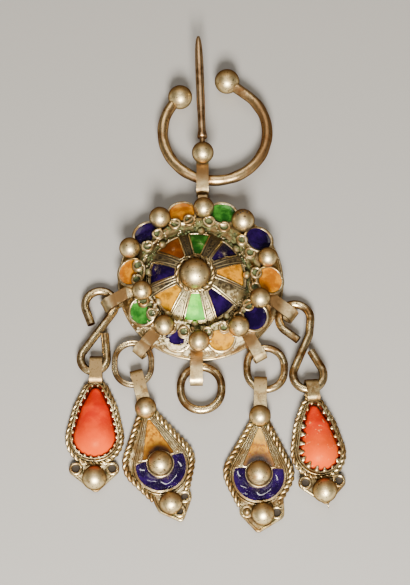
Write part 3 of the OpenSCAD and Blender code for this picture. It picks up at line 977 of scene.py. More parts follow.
def dish(profile, sides):
    """a round skin from rows of radius and height"""
    verts = [[0, 0, profile[0][1]]]
    for r, z in profile[1:]:
        for j in range(sides):
            a = FULL_TURN * j / sides
            verts.append([r * math.cos(a), r * math.sin(a), z])
    faces = [[0, 1 + j, 1 + (j + 1) % sides] for j in range(sides)]
    faces += band_faces(len(profile) - 1, sides, first=1, flip=True)
    return np.array(verts, float), faces


def sheet_faces(rows, columns):
    """faces of an open sheet of points, given row by row"""
    return [[a * columns + b, a * columns + b + 1,
             (a + 1) * columns + b + 1, (a + 1) * columns + b]
            for a in range(rows - 1) for b in range(columns - 1)]


print("a large ball has", len(ball((0, 0, 0), 1, *LARGE)[1]), "faces")

# %% [markdown]
# ## Pieces and places
# A piece collects many tubes, beads and sheets and becomes one object, which
# keeps the list of objects short. Each drop was drawn upright about its own
# middle, so its pieces are drawn upright too and then turned and moved to where
# the drop lies.

# %% Pieces and places
FLOOR_GAP = 0.02


class Piece:
    """collects tubes and sheets, then makes one object of them"""

    def __init__(self, place=None):
        self.verts, self.faces, self.count = [], [], 0
        self.place = place or (lambda points: points)

    def add(self, *parts):
        """put tubes, beads and sheets into the piece"""
        for verts, faces in parts:
            self.verts.append(self.place(np.asarray(verts, float)))
            self.faces += [[q + self.count for q in f] for f in faces]
            self.count += len(verts)

    def make(self, name, finish, slot="silver", body="brooch"):
        """one object of all that was added, with its finish and body"""
        verts = np.vstack(self.verts)
        verts[:, 2] = np.maximum(verts[:, 2], FLOOR_GAP)
        mesh = bpy.data.meshes.new(name)
        mesh.from_pydata(metres(verts).tolist(), [], self.faces)
        mesh.materials.append(finish)
        mesh.validate()
        mesh.polygons.foreach_set("use_smooth", [True] * len(mesh.polygons))
        mesh.update()
        o = new_object(name, mesh)
        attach(o, body)
        print(name, len(mesh.polygons), "faces")


def at_drop_left(points):
    """onto the left enamelled drop"""
    return turned(points, z=14.9) + [-10.66, -51.75, 0]


def at_drop_right(points):
    """onto the right enamelled drop"""
    return turned(points, z=-1.5) + [15.45, -54.46, 0]


def at_coral_left(points):
    """onto the left coral setting"""
    return np.asarray(points, float) + [-28.2, -44.5, 0]


def at_coral_right(points):
    """onto the right coral setting, which leans on one edge"""
    points = turned(points, z=5.5) - [7.38, 0, 0]
    return turned(points, y=7.5) + [7.38 + 31.1, -48.8, 0]


DROP = {"drop_left": at_drop_left, "drop_right": at_drop_right}
CORAL = {"coral_left": at_coral_left, "coral_right": at_coral_right}
HANGING = {**DROP, **CORAL}
print("hanging pieces:", list(HANGING))

# %% [markdown]
# ## Balls
# The balls are rubbed bright, their far sides carry painted shade in brown, and their
# feet are dark with dirt and painted shade. The solid balls are left a little small,
# and each gets a skin of many faces, so that its outline is smooth in a close view. One
# ball of the head has five pits, dark with painted shade.

# %% Balls
BALL = [
    (0.8, 19.2, 7.7, 2.72), (11.6, 15.3, 7.8, 3.05), (18.3, 4.6, 7.6, 2.55),
    (16.1, -7.4, 8.1, 2.65), (10.3, -15.3, 7.7, 2.72), (-0.4, -19.4, 7.6, 2.7),
    (-9.8, -15.1, 7.9, 2.65), (-15.9, -5.3, 8.3, 2.55), (-19.4, 7.5, 7.1, 2.72),
    (-11.2, 16.3, 7.6, 2.77), (-1.5, -0.85, 9.2, 4.15), (0.57, 35.8, 7.6, 2.9)]
BALL_SKIN = 0.16
balls = Piece()
for x, y, z, r in BALL:
    balls.add(ball((x, y, z), r + BALL_SKIN, *LARGE))
balls.make("head_ball_skins", ball_silver)

PIT = [(-1.43, 1.54), (-0.05, 2.37), (0.5, 1.0), (1.1, 2.2), (-0.7, 2.0)]
PIT_R = 0.24
PIT_FROM_MIDDLE = 3.2
x, y, z, _ = BALL[1]
pits = Piece()
for u, v in PIT:
    w = math.sqrt(PIT_FROM_MIDDLE ** 2 - u * u - v * v)
    c, d = math.cos(tilt), math.sin(tilt)
    pits.add(ball((x + u, y + v * c - w * d, z + v * d + w * c), PIT_R, *SMALL))
# the pits are painted shade
pits.make("ball_pits", soot)

# %% Balls of the hanging pieces
ENAMEL_BALL, TOP_BALL = (0, 0, 2.2, 3.25), (0, 15.8, 2.1, 2.8)
FOOT_BALL = {
    "drop_left": (0.05, -11.1, 2.1, 2.98), "drop_right": (1.2, -10.9, 2.1, 2.98),
    "coral_left": (0.2, -11.3, 2.4, 3.15), "coral_right": (0.2, -10.62, 2.4, 3.15)}
FOOT_SKIN = 0.12
LOWEST_SKIN = 0.3
for name, place in HANGING.items():
    rows = [ENAMEL_BALL, TOP_BALL] if name in DROP else []
    skin = Piece(place)
    for x, y, z, r in rows + [FOOT_BALL[name]]:
        verts, faces = ball((x, y, z), r + FOOT_SKIN, 22, 40)
        verts[:, 2] = np.maximum(verts[:, 2], LOWEST_SKIN)
        skin.add((verts, faces))
    skin.make(name + "_ball_skins", ball_silver)

# %% [markdown]
# ## Ring
# The ring is a hammered rod, open at one side, with a ball on each end. Its
# thickness isn't quite even. A perfect tube would look like a casting, so two
# waves change the radius along the way by a few hundredths of a millimetre. It
# rides on its own body, because it turns.

# %% Ring
RING_Z = 3.35
RING_WIRE = 1.50
BEND_AT, BEND_R = (4.0, 43.9), 14.75
LEFT_END, RIGHT_END = (-5.87, 54.86), (7.46, 59.87)
pegs = [(*LEFT_END, 0, 1), (*BEND_AT, BEND_R, 1), (*RIGHT_END, 0, 1)]
way = even(raised(belt(pegs, False), RING_Z), 0.4)
s = np.linspace(0, 1, len(way))
hammered = RING_WIRE + 0.035 * np.sin(s * 61) + 0.03 * np.sin(s * 97 + 1.0)
skin = Piece()
skin.add(tube(way, hammered, 20))
skin.make("ring_skin", ring_silver, "ring_silver", "ring")
skin = Piece()
skin.add(ball((*LEFT_END, 3.5), 3.42, *LARGE),
         ball((*RIGHT_END, 3.42), 3.52, *LARGE))
skin.make("ring_ball_skins", ball_silver, "ring_silver", "ring")

# %% [markdown]
# ## Pin
# The pin was forged from a rod and is widest in the middle. Its skin follows
# the hammered width, from the collar by its ball to the blunt tip. A cone would
# be too plain for it, and a table of widths shows the shape at a glance.

# %% Pin
PIN_WIDTH = [(4.3, 1.30), (4.9, 1.34), (5.6, 1.20), (6.8, 1.02), (9.5, 1.04),
             (12.0, 1.08), (16.0, 1.18), (19.0, 1.15), (22.5, 1.18), (27.7, 1.16),
             (31.5, 1.06), (33.5, 0.90), (35.0, 0.68), (35.8, 0.44), (36.0, 0.18)]
PIN_Z = 8.16
root_x, root_y = BALL[-1][:2]
lean_left = math.radians(2.1)
way = [(root_x - d * math.sin(lean_left), root_y + d * math.cos(lean_left), PIN_Z)
       for d, _ in PIN_WIDTH]
skin = Piece()
skin.add(tube(way, [r for _, r in PIN_WIDTH], 20))
skin.make("pin_skin", head_silver)

# %% [markdown]
# ## Jump rings
# Three round links hang from the near edge of the head, and nothing hangs from
# the middle one. The left one was made of two wires side by side, and the
# middle one has a seam along its top. A bump could draw such lines. Thin tubes
# on top of the CAD links are used, because they also show from the side.

# %% Jump rings
LINK_Z = 2.0


def on_link(link, g, r, sides, sunk=0.0):
    """a wire on top of a long link, g away from the middle of its rod"""
    x, y, half, peg_r, rod = link
    pegs = [(x, y - half, peg_r, 1), (x, y + half, peg_r, 1)]
    high = LINK_Z + math.sqrt(rod ** 2 - g * g) - sunk
    return tube(raised(belt(grown(pegs, g)), high), r, sides, True)


LEFT_LINK = (-18.25, -24.2, 0.95, 4.95, 0.78)
MIDDLE_LINK = (0.13, -31.1, 0.52, 5.5, 1.08)
wires = Piece()
for g in (-0.40, 0.42):
    wires.add(on_link(LEFT_LINK, g, 0.24, 9, 0.06))
wires.make("jump_ring_left_wires", link_silver)
# the seams are thin dark tubes of painted shade
seams = Piece()
for link, g in ((LEFT_LINK, 0.01), (MIDDLE_LINK, -0.30)):
    seams.add(on_link(link, g, 0.07, 6))
seams.make("jump_ring_seams", soot)

# %% [markdown]
# ## Roped edges
# Each drop has an edge of twisted wire, and so has the big ball in the middle
# of the head. The twist shows as slanting lozenges 1.7 mm apart, with dirt in
# the grooves. A bump could only shade them, and the outline would stay smooth,
# so the two strands are real.

# %% Roped edges
# a twist is the radius of its strands and the length of one turn
DROP_TWIST, CORAL_TWIST, COLLAR_TWIST = (0.46, 3.35), (0.38, 3.3), (0.37, 3.4)
COLLAR_Z, COLLAR_R = 8.45, 4.92
DOME_AT = np.array([-1.3, -0.55])
DROP_EDGE = {
    "drop_left": [(-4.1, -8.9, 0, 1), (-2.9, 1.0, 6.2, -1), (0, 13.4, 2.15, -1),
                  (2.6, 0.3, 6, -1), (4.9, -8.6, 0, 1)],
    "drop_right": [(-4.8, -8.5, 0, 1), (-2.6, 0.3, 6, -1), (0, 13.4, 2.15, -1),
                   (2.6, 0.3, 6, -1), (5.2, -7.6, 0, 1)]}
CORAL_SIZE = {"coral_left": 1.0, "coral_right": 0.94}


def coral_rows(name):
    """the pegs of one coral's outline"""
    k = CORAL_SIZE[name]
    rows = [(0, 0, 6.05, 1), (0, 6.5, 4.5, 1), (0, 12.2, 2.1, 1), (0, 6.5, 4.5, 1)]
    return [(x * k, y * k, r * k, way) for x, y, r, way in rows]


for name, place in DROP.items():
    edge = Piece(place)
    way = raised(belt(DROP_EDGE[name], False), 0.95)
    edge.add(*rope(way, *DROP_TWIST, False))
    edge.make(name + "_rope", rope_silver)
for name, place in CORAL.items():
    edge = Piece(place)
    way = raised(belt(grown(coral_rows(name), 1.15)), 0.86)
    edge.add(*rope(way, *CORAL_TWIST))
    edge.make(name + "_rope", rope_silver)
collar = Piece()
collar.add(*rope(ring_path((*DOME_AT, COLLAR_Z), COLLAR_R), *COLLAR_TWIST))
collar.make("boss_rope", rope_silver)

# %% [markdown]
# ## Teeth of the coral settings
# A toothed strip of silver is bent up round each stone, and its teeth are
# pressed over the coral. No two teeth lean alike. Each tooth is a small leaf of
# three cross sections, and seeded random numbers vary its width, its reach and
# its lean, so it comes out the same on every run. A narrow hem of coral closes
# the gap under the teeth.

# %% Teeth
SEAT_Z = 0.2
TOOTH_Z = 3.0
TOOTH_THICK = 0.26
TOOTH_COUNT = {"coral_left": 26, "coral_right": 20}
chance = np.random.default_rng(7)


def stone_height(x, y, outline):
    """height of the stone's surface over a point"""
    right = outline[outline[:, 0] >= 0]
    right = right[np.argsort(right[:, 1])]
    w = np.interp(y, right[:, 1], right[:, 0])
    return SEAT_Z + math.sqrt(max(0.0, w * w - x * x))


def leaf(base, mid, tip, width, thick):
    """a pointed leaf: three cross sections along a bent line"""
    rows = []
    line = [np.array(q, float) for q in (base, mid, tip)]
    side = np.cross(line[2] - line[0], (0, 0, 1))
    side /= np.linalg.norm(side)
    for q, (a, b), share in (
            (0, (0, 1), 1.0), (1, (0, 2), 0.74), (2, (1, 2), 0.2)):
        run = line[b] - line[a]
        out = np.cross(side, run)
        out /= np.linalg.norm(out)
        for u, v in ((-1, -1), (1, -1), (1, 1), (-1, 1)):
            rows.append(line[q] + side * u * width / 2 * share
                        + out * v * thick / 2)
    faces = [[0, 3, 2, 1], [8, 9, 10, 11]]
    return np.array(rows), faces + band_faces(3, 4)


def tooth(name, strip, at, outline):
    """one tooth of the strip, pressed over the stone"""
    here = strip[at % len(strip)]
    nearby = strip[(at + 4) % len(strip)] - strip[(at - 4) % len(strip)]
    inward = np.array([-nearby[1], nearby[0], 0.0])
    inward /= np.linalg.norm(inward)
    deep = chance.uniform(0.65, 1.0)
    wide = chance.uniform(1.5, 1.75)
    if name == "coral_left":
        deep, wide = deep - 0.28, wide - 0.35
    elif here[0] < -1.5 and here[1] < 8:
        deep, wide = deep + 0.45, wide + 0.25
    mid, tip = [np.array([x, y, stone_height(x, y, outline) + 0.17])
                for x, y, _ in (here + inward * d for d in (0.35, 0.22 + deep))]
    mid[2] = max(mid[2], 3.2)
    tip[:2] += nearby[:2] / np.linalg.norm(nearby) * chance.uniform(-.2, .2)
    return leaf(here - [0, 0, 0.35], mid, tip, wide, TOOTH_THICK)


def coral_hem(rows):
    """a narrow skin of coral from under the teeth down to the strip"""
    inner = even(raised(belt(grown(rows, -0.35)), 2.35), 0.3, True)
    outer = even(raised(belt(grown(rows, 0.33)), 1.9), 0.3, True)
    nearest = [int(np.argmin(np.hypot(*(outer - q)[:, :2].T))) for q in inner]
    return np.vstack([inner, outer[nearest]]), band_faces(2, len(inner))


for name, place in CORAL.items():
    rows = coral_rows(name)
    outline = belt(rows)
    strip = even(raised(belt(grown(rows, 0.22)), TOOTH_Z), 0.05, True)
    hem = Piece(place)
    hem.add(coral_hem(rows))
    hem.make(name + "_hem", coral, "coral")
    teeth = Piece(place)
    count = TOOTH_COUNT[name]
    for i in range(count):
        at = int((i + chance.uniform(-0.08, 0.08)) * len(strip) / count)
        teeth.add(tooth(name, strip, at, outline))
    teeth.add(tube(raised(belt(grown(rows, 0.5)), 1.7), 0.18, closed=True))
    teeth.make(name + "_teeth", wire_silver)

# %% [markdown]
# ## Cell walls of the head
# Every cell of the inner dome has a wall of fine wire and a second wire outside it,
# with a dark seam of painted shade outside each. The dome is a piece of a ball, so each
# flat outline is drawn on a plane and then lifted onto that ball. A shrinkwrap would do
# the same with less control over the height.

# %% Cell walls
DOME_R, DOME_Z = 21.0, -11.9
# a row is the turn in degrees, then distance and half width at the inner end
# and at the outer end
CELL = [
    (4, 5.7, 0.9, 13.3, 2.95), (46, 5.5, 0.6, 13.2, 2.9),
    (85.5, 5.5, 0.6, 13.5, 3.5), (140, 5.8, 0.7, 13.1, 3.15),
    (181, 5.6, 1.15, 12.9, 3.1), (230, 5.9, 1.1, 12.6, 3.4),
    (275, 5.7, 1.15, 12.8, 3.6), (322, 5.8, 0.8, 13.2, 3.7)]


def on_dome(points, above=0.0):
    """flat points about the dome's middle, lifted onto its surface"""
    points = np.asarray(points, float)
    high = np.sqrt((DOME_R + above) ** 2 - (points[:, :2] ** 2).sum(1)) + DOME_Z
    return np.column_stack([points[:, :2] + DOME_AT, high])


def cell_path(cell, g, soft):
    """the outline of one cell, grown by g, about the dome's middle"""
    turn, near, near_w, far, far_w = cell
    far, near = far + g, near - g
    near_w, far_w = near_w + g, far_w + g
    edge = math.asin(far_w / far)
    arc = np.linspace(edge, -edge, 14)
    flat = [(-near_w, near), (near_w, near)] + [
        (far * math.sin(a), far * math.cos(a)) for a in arc]
    flat = softened(even(flat, 0.22, True), soft)
    return turned(raised(flat, 0), z=-turn)[:, :2]


def cell_wires(name, finish, sides, *wires):
    """wires round every cell; a wire is growth, rounding, height and radius"""
    piece = Piece()
    for cell in CELL:
        for g, soft, above, r in wires:
            way = on_dome(cell_path(cell, g, soft), above)
            piece.add(tube(way, r, sides, True))
    piece.make(name, finish)


cell_wires("cell_walls", wire_silver, 8, (0.06, 3, 0.02, 0.21))
cell_wires("cell_walls_outer", head_silver, 8, (0.72, 6, -0.02, 0.17))
# the seams beside the cell walls are painted shade
cell_wires("cell_seams", soot, 6, (0.40, 5, -0.02, 0.13), (0.98, 6, -0.04, 0.11))

# %% [markdown]
# ## Gaps between the cells
# A sheet of painted shade fills the gaps between the walls, paler towards the drops.
# Two of the gaps hold a waving wire. A colour zone on the dome would be blurred at its
# edge. The fill is a thin sheet that narrows towards the middle with its gap, and the
# wave is a sine along it. Two gaps are too narrow for a fill.

# %% Gaps between the cells
NARROW_GAPS = (3, 4)
WAVY_GAPS = (0, 7)
WAVE_LENGTH, WAVE_HEIGHT = 1.3, 0.30
GAP_ROWS, GAP_COLUMNS = 12, 4


def in_gap(s, t, middle):
    """points s out from the dome's middle and t across the gap"""
    return np.column_stack([s * math.sin(middle) + t * math.cos(middle),
                            s * math.cos(middle) - t * math.sin(middle)])


def side_turn(cell):
    """half the angle that a cell covers, in degrees"""
    return math.degrees(math.atan(cell[4] / cell[3]))


waves, beds = Piece(), Piece()
for i, cell in enumerate(CELL):
    if i in NARROW_GAPS:
        continue
    after = CELL[(i + 1) % len(CELL)]
    left = cell[0] + side_turn(cell)
    right = cell[0] + (after[0] - cell[0]) % 360 - side_turn(after)
    middle = math.radians((left + right) / 2)
    rows = []
    for s in np.linspace(6.5, 12.5, GAP_ROWS):
        w = max(0.1, s * math.sin(math.radians((right - left) / 2)) - 0.5)
        over_gap = np.array([-w, -w / 3, w / 3, w])
        rows.append(in_gap(np.full(GAP_COLUMNS, s), over_gap, middle))
    beds.add((on_dome(np.vstack(rows), 0.03), sheet_faces(GAP_ROWS, GAP_COLUMNS)))
    if i in WAVY_GAPS:
        s = np.linspace(6.8, 12.6, 60)
        sway = WAVE_HEIGHT * np.sin(s * FULL_TURN / WAVE_LENGTH + i)
        waves.add(tube(on_dome(in_gap(s, sway, middle), 0.02), 0.12, 7))
waves.make("filigree", head_silver)
# the fill of the gaps is painted shade
beds.make("cell_gaps", tarnish)

# %% [markdown]
# ## Petals
# Ten petal cups stand round the head and lean outward. Melted glass climbs a
# little at the walls. A flat disc would shine all over at once, so each enamel
# gets a thin skin that is hollow in the middle. The cup's wall is a wire, and a
# second one that swells in its middle thickens the outer side. All skins of one
# glass are collected and made as one piece after the inner cells.

# %% Petal tools
CROWN_AT = np.array([-0.7, -0.5])
PETAL_LEAN = -22
PETAL_OUT, PETAL_Z = 18.6, 5.75
skins = {}


def polar(turn, r):
    """a point at a turn, in degrees from the pin's side, and a distance"""
    turn = math.radians(turn)
    return np.array([r * math.sin(turn), r * math.cos(turn), 0.0])


def leaning(points, lean, turn):
    """points that lean outward and face a turn"""
    return turned(turned(points, x=lean), z=-turn)


def in_petal(turn):
    """a function that puts points into one petal's cup"""
    at = polar(turn, PETAL_OUT) + [0, 0, PETAL_Z]
    return lambda points: leaning(points, PETAL_LEAN, turn) + at


def upright_in(lean, turn):
    """the upward direction of something that leans"""
    return leaning([[0, 0, 1]], lean, turn)[0]


def swelling(path, thin, thick):
    """radii along a path that is thickest in its middle"""
    return thin + thick * np.sin(np.linspace(0, math.pi, len(path))) ** 0.6


def skin_of(slot, glass):
    """the piece that collects all the skins of one glass"""
    return skins.setdefault((slot, glass.name), (Piece(), glass))[0]


def grain(at, smallest, largest_r):
    """a tiny bead of a random size"""
    return ball(at, chance.uniform(smallest, largest_r), *TINY)


print("petal cups lean outward by", -PETAL_LEAN, "degrees")

# %% [markdown]
# ### Crust on one petal
# Lime covers half of the low blue petal: two soft banks along its wall, and
# loose grains. Sculpting could give a finer surface. Two flat, uneven tubes and
# ninety tiny beads are enough at this size, and they lean with the cup.

# %% Crust on one petal
CRUSTED = 199
CRUST_GRAINS = 90
place = in_petal(CRUSTED)
tip = upright_in(PETAL_LEAN, CRUSTED)
banks = Piece()
for at, r, first, sweep, thick in (
        ((0.3, 0.1, 0.62), 3.05, 12, 156, 0.78),
        ((0.2, 0.1, 0.62), 3.2, 172, 60, 0.60)):
    arc = ring_path(at, r, 0.25, first, sweep)
    uneven = swelling(arc, 0.08, thick) * chance.uniform(0.80, 1.12, len(arc))
    banks.add(tube(place(arc), uneven, 9, up=tip, flat=0.5))
for _ in range(CRUST_GRAINS):
    angle = math.radians(chance.uniform(5, 235))
    r = chance.uniform(2.3, 4.1)
    spot = [r * math.cos(angle) + 0.2, r * math.sin(angle) + 0.1, 0.85]
    banks.add(grain(place([spot])[0], 0.14, 0.34))
banks.make("petal_crust", lime_crust)

# %% Petals
# a row is the turn in degrees, the glass, its slot and the wall's thickness
PETAL = [
    (19, green_glass, "green_enamel", 0.50),
    (57, blue_glass, "blue_enamel", 0.50),
    (95, orange_glass, "orange_enamel", 0.36),
    (130, blue_glass, "blue_enamel", 0.42),
    (163, low_yellow_glass, "orange_enamel", 0.30),
    (199, blue_glass, "blue_enamel", 0.48),
    (236, green_glass, "green_enamel", 0.42),
    (272, orange_glass, "orange_enamel", 0.32),
    (309, blue_glass, "blue_enamel", 0.48),
    (344, orange_glass, "orange_enamel", 0.42),
]
RIDGE_R = 16.55
CUP_R, CUP_WIRE = 3.82, 0.36
hollow_glass = [(r, 0.575 + 0.28 * max(0, (r - 2.0) / 1.5) ** 2)
                for r in np.linspace(0, 3.5, 15)]
rims = Piece()
for turn, glass, slot, wall in PETAL:
    place = in_petal(turn)
    verts, faces = dish(hollow_glass, 56)
    verts = place(verts)
    clear = np.hypot(*(verts[:, :2] - CROWN_AT).T) > RIDGE_R
    faces = [f for f in faces if all(clear[q] for q in f)]
    skin_of(slot, glass).add((verts, faces))
    tip = upright_in(PETAL_LEAN, turn)
    edge = place(ring_path((0, 0, 0.55), CUP_R, 0.3))
    rims.add(tube(edge, CUP_WIRE, 9, True, up=tip))
    arc = ring_path((0, 0, 0.50), 3.98, 0.25, 5, 170)
    rims.add(tube(place(arc), swelling(arc, 0.08, wall), 9, up=tip))
rims.make("petal_rims", wire_silver)

# %% [markdown]
# ## Curls
# Two open loops of wire lie at the inner edge of each petal, and green
# corrosion fills them. One curl could be copied twenty times, but no two are
# closed alike, so the size and the place of the opening vary a little. The wire
# narrows its circle on the way round, as a curl that was bent with pliers does,
# and a bead rounds each cut end.

# %% Curls
CURL = [
    (11, 15.9), (27, 15.7), (50, 15.7), (66, 15.6), (88, 15.8), (103, 15.9),
    (123, 16.2), (138, 16.4), (155, 16.6), (171, 16.8), (193, 16.8),
    (206, 16.8), (228, 16.6), (243, 16.6), (265, 16.6), (279, 16.6),
    (301, 16.1), (317, 16.2), (337, 16.2), (351, 16.1)]
CURL_Z, CURL_LEAN, CURL_WIRE = 7.6, -8, 0.37
CURL_R, CURL_VARIES = 1.34, 0.12
CURL_FILL = [(0, -0.25), (0.5, -0.2), (0.9, -0.1), (1.35, 0.0)]
curls, fills = Piece(), Piece()
for turn, out in CURL:
    at = np.r_[CROWN_AT, CURL_Z] + polar(turn, out)
    size = CURL_R + CURL_VARIES * chance.uniform(-1, 1)
    open_at = chance.uniform(0, 360)
    loop = ring_path((0, 0, 0.1), size, 0.2, open_at, 330)
    loop[:, :2] *= np.linspace(1.04, 0.93, len(loop))[:, None]
    loop = leaning(loop, CURL_LEAN, turn) + at
    curls.add(tube(loop, CURL_WIRE, 9, up=upright_in(CURL_LEAN, turn)))
    for end in (loop[0], loop[-1]):
        curls.add(ball(end, CURL_WIRE, *SMALL))
    verts, faces = dish(CURL_FILL, 20)
    fills.add((leaning(verts, CURL_LEAN, turn) + at, faces))
curls.make("curls", rope_silver)
fills.make("curl_fills", verdigris)

# %% [markdown]
# ## Grains on the ridge
# The ridge, the bed near the drops and the low petals are covered by grains of
# silver, verdigris and lime. A bump would stay flat at the edges of the ridge,
# so the grains are small beads, scattered with seeded random numbers. Two
# tables of distance and height say how high the ground is under them.

# %% Grains on the ridge
RIDGE = ([13.4, 14.1, 15.1, 16.6], [3.9, 4.5, 6.5, 6.4])
NEAR_SIDE = ([13.8, 14.1, 15.1, 16.6, 17.6, 21.0, 22.3],
             [4.2, 4.5, 6.5, 6.4, 5.3, 3.2, 0.8])
LIMED_PETALS = (199, 236, 163)
LIMED_GAPS = (161, 205)
ON_RIDGE, ON_NEAR_SIDE, AT_DOME_FOOT, IN_PETAL, IN_GAPS = 420, 420, 260, 46, 110
grains, crusts, limes = Piece(), Piece(), Piece()


def on_crown(turn, out, high):
    """a place on the head at a turn, a distance and a height"""
    return np.r_[CROWN_AT, high] + polar(turn, out)


for _ in range(ON_RIDGE):
    turn, out = chance.uniform(0, 360), chance.uniform(13.4, 16.6)
    bead = grain(on_crown(turn, out, np.interp(out, *RIDGE)), 0.16, 0.38)
    (grains if chance.uniform() < 0.45 else crusts).add(bead)
for i in range(ON_NEAR_SIDE):
    turn, out = chance.uniform(150, 245), chance.uniform(13.8, 21.8)
    bead = grain(on_crown(turn, out, np.interp(out, *NEAR_SIDE)), 0.14, 0.40)
    (grains if i % 2 else limes).add(bead)
for _ in range(AT_DOME_FOOT):
    turn, out = chance.uniform(118, 262), chance.uniform(12.7, 14.3)
    grains.add(grain(on_crown(turn, out, chance.uniform(3.7, 4.5)), 0.2, 0.42))
for turn in LIMED_PETALS:
    for _ in range(IN_PETAL):
        angle = math.radians(chance.uniform(165, 375))
        r = chance.uniform(3.0, 4.3)
        spot = [r * math.cos(angle), r * math.sin(angle), 0.75]
        limes.add(grain(in_petal(turn)([spot])[0], 0.16, 0.36))
for i in range(IN_GAPS):
    turn = LIMED_GAPS[i % 2] + chance.uniform(-3.5, 3.5)
    out = chance.uniform(6.4, 12.4)
    bead = grain(on_dome(polar(turn, out)[None, :2])[0], 0.12, 0.24)
    (limes if i % 3 else crusts).add(bead)
grains.make("ridge_grains", wire_silver)
crusts.make("ridge_crust", verdigris)
limes.make("pale_crust", lime_crust)

# %% [markdown]
# ## Skins of the inner cells
# The glass of an inner cell sinks away from its walls by a tenth of a
# millimetre. Sculpting would do it cell by cell. Rings of the cell's outline,
# each smaller and lower than the last, give that hollow, and the reflections
# bend with it. Then all the skins of the head are made, one piece for each
# glass.

# %% Skins of the inner cells
GLASS = [("green_enamel", green_glass), ("blue_enamel", blue_glass),
         ("yellow_enamel", yellow_glass), ("blue_enamel", blue_glass),
         ("light_green_enamel", light_green_glass),
         ("yellow_enamel", low_yellow_glass), ("blue_enamel", blue_glass),
         ("brown_enamel", brown_glass)]
HOLLOW = ((1.0, 0.02), (0.95, -0.03), (0.88, -0.075), (0.78, -0.10),
          (0.5, -0.11), (0.2, -0.11))
for cell, (slot, glass) in zip(CELL, GLASS):
    outline = cell_path(cell, 0.02, 2)
    n = len(outline)
    middle = outline.mean(axis=0)
    rows = [on_dome(middle + (outline - middle) * share, above)
            for share, above in HOLLOW]
    faces = band_faces(len(rows), n)
    faces.append([(len(rows) - 1) * n + j for j in range(n)])
    skin_of(slot, glass).add((np.vstack(rows), faces))
for (slot, finish), (piece, glass) in skins.items():
    low = "_low" if finish == "low_yellow_enamel" else ""
    piece.make("head_skin_" + slot + low, glass, slot)

# %% [markdown]
# ## Rim of the base
# A thin wire lies on the edge of the base plate, and a short second one lies
# higher up on the right. Neither is twisted or beaten, so plain tubes on
# circles are all that they need.

# %% Rim of the base
rim = Piece()
rim.add(tube(ring_path((0, 0, 0.55), 22.5, 0.6), 0.34, 8, True))
rim.add(tube(ring_path((0.2, -0.2, 4.4), 21.4, 0.5, -2, 30), 0.22, 8))
rim.make("base_rim", wire_silver)

# %% [markdown]
# ## Frames of the drops
# On each enamelled drop, fine wires follow the beds of glass: two round the
# whole plate, one round the yellow bed, one round the blue crescent, one round
# the ball, and four straight ones beside the yellow. The outlines are joined
# from lines and arcs and then rounded at the corners, as soft wire is.

# %% Frames of the drops
PLATE = [(0, -0.7, 7.25, 1), (0, 12.6, 1.2, 1)]
BED_WIRE_Z = 1.58
SIDE_WIRES = (((0.95, 12.2), (5.35, 1.9)), ((1.35, 12.4), (6.25, 1.2)))


def joined(*lines):
    """one closed and rounded path from several flat lines"""
    return raised(softened(even(np.vstack(lines), 0.22, True), 2), BED_WIRE_Z)


corner = even([(-0.4, 12.7), (0.4, 12.7), (4.6, 1.9), (3.1, 1.75)], 0.25)
yellow_bed = joined(
    corner, ring_path((0, 0, 0), 3.5, 0.25, 29, 122)[:, :2], corner[::-1] * [-1, 1])
blue_bed = joined(
    ring_path((0, -0.7, 0), 6.8, 0.25, 18.8, -217.6)[:, :2],
    ring_path((0, 0, 0), 3.55, 0.25, 155, 230)[:, :2])
for name, place in DROP.items():
    fine = Piece(place)
    fine.add(tube(raised(belt(grown(PLATE, -0.2)), 1.6), 0.2, 8, True))
    fine.add(tube(raised(belt(grown(PLATE, 0.32)), 1.12), 0.22, 8, True))
    for loop in (yellow_bed, blue_bed):
        fine.add(tube(loop, 0.2, 8, True))
    fine.add(tube(raised(ring_path((0, 0, 0), 3.3), 1.55), 0.16, 8, True))
    for hand in (-1, 1):
        for top, foot in SIDE_WIRES:
            line = even([(hand * top[0], top[1]), (hand * foot[0], foot[1])], 0.4)
            fine.add(tube(raised(line, 1.5), 0.24, 8))
    fine.make(name + "_frame_wires", wire_silver)

# %% [markdown]
# ## Glass of the drops
# The blue crescent round each ball is the glossiest glass of all. It swells
# between its wires and is a little wavy, which breaks the lamp's reflection
# into the white streaks of the real one. A sheet of 60 by 9 points in polar
# form follows the crescent, and one sine gives the waves.

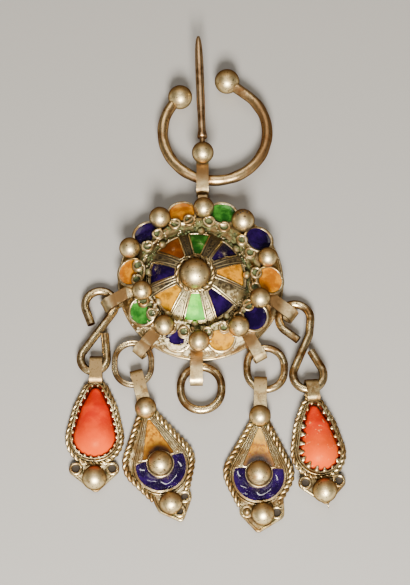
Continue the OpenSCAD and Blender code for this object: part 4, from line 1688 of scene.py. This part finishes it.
# %% Glass of the drops
INNER_R, BED_WIDTH = 3.42, 3.53
HORN_HEIGHT = 1.45
ROUND, OUTWARD = 60, 9
rows = []
for u in np.linspace(0, 1, ROUND):
    for t in np.linspace(0, 1, OUTWARD):
        r = INNER_R + BED_WIDTH * t
        past = math.asin(HORN_HEIGHT / r)
        turn = math.pi - past + u * (math.pi + 2 * past)
        swell = 0.30 + 0.10 * math.sin(4.6 * turn + 1.0 + 2.5 * t)
        rows.append([r * math.cos(turn),
                     r * math.sin(turn) - 0.62 * t * abs(math.sin(turn)),
                     1.60 + swell * (1 - (2 * t - 1) ** 2)])
upward_faces = [f[::-1] for f in sheet_faces(ROUND, OUTWARD)]
for name, place in DROP.items():
    bowl = Piece(place)
    bowl.add((np.array(rows), upward_faces))
    bowl.make(name + "_glass", drop_blue_glass, "blue_enamel")

# %% [markdown]
# ## Curls on the feet
# The foot of each hanging piece carries two curls like those of the head, with fills of
# painted shade. One curl of the right drop holds a small ball, and the foot of the
# right coral setting ends in a short spike. They are made as the head's curls are, but
# lie flat.

# %% Curls on the feet
FOOT_CURLS = {
    "drop_left": [(3.95, -10.3), (1.75, -13.7)],
    "drop_right": [(-2.95, -10.3), (4.9, -10.4)],
    "coral_left": [(-4.8, -8.6), (4.8, -8.6)],
    "coral_right": [(-4.51, -8.08), (4.51, -8.08)]}
FOOT_Z, FOOT_CURL_R, FOOT_WIRE = 1.35, 1.42, 0.36
FOOT_FILL = [(0, 1.03), (0.6, 1.03), (1.0, 1.1), (1.25, 1.3)]
SPIKE = [(0.75, -13.4, 1.9), (0.8, -14.5, 1.7), (0.8, -15.3, 1.5)]
for name, place in HANGING.items():
    curl, fill = Piece(place), Piece(place)
    for x, y in FOOT_CURLS[name]:
        open_at = chance.uniform(0, 360)
        loop = ring_path((x, y, FOOT_Z), FOOT_CURL_R, 0.2, open_at, 335)
        curl.add(tube(loop, FOOT_WIRE, 9))
        for end in (loop[0], loop[-1]):
            curl.add(ball(end, FOOT_WIRE, *SMALL))
        verts, faces = dish(FOOT_FILL, 20)
        fill.add((verts + [x, y, 0], faces))
    if name == "drop_right":
        curl.add(ball((*FOOT_CURLS[name][0], FOOT_Z), 1.0, 12, 20))
    if name == "coral_right":
        curl.add(tube(SPIKE, [0.22, 0.16, 0.08], 8))
    curl.make(name + "_foot_curls", rope_silver)
    # the fills of the foot curls are painted shade
    fill.make(name + "_foot_fills", soot)
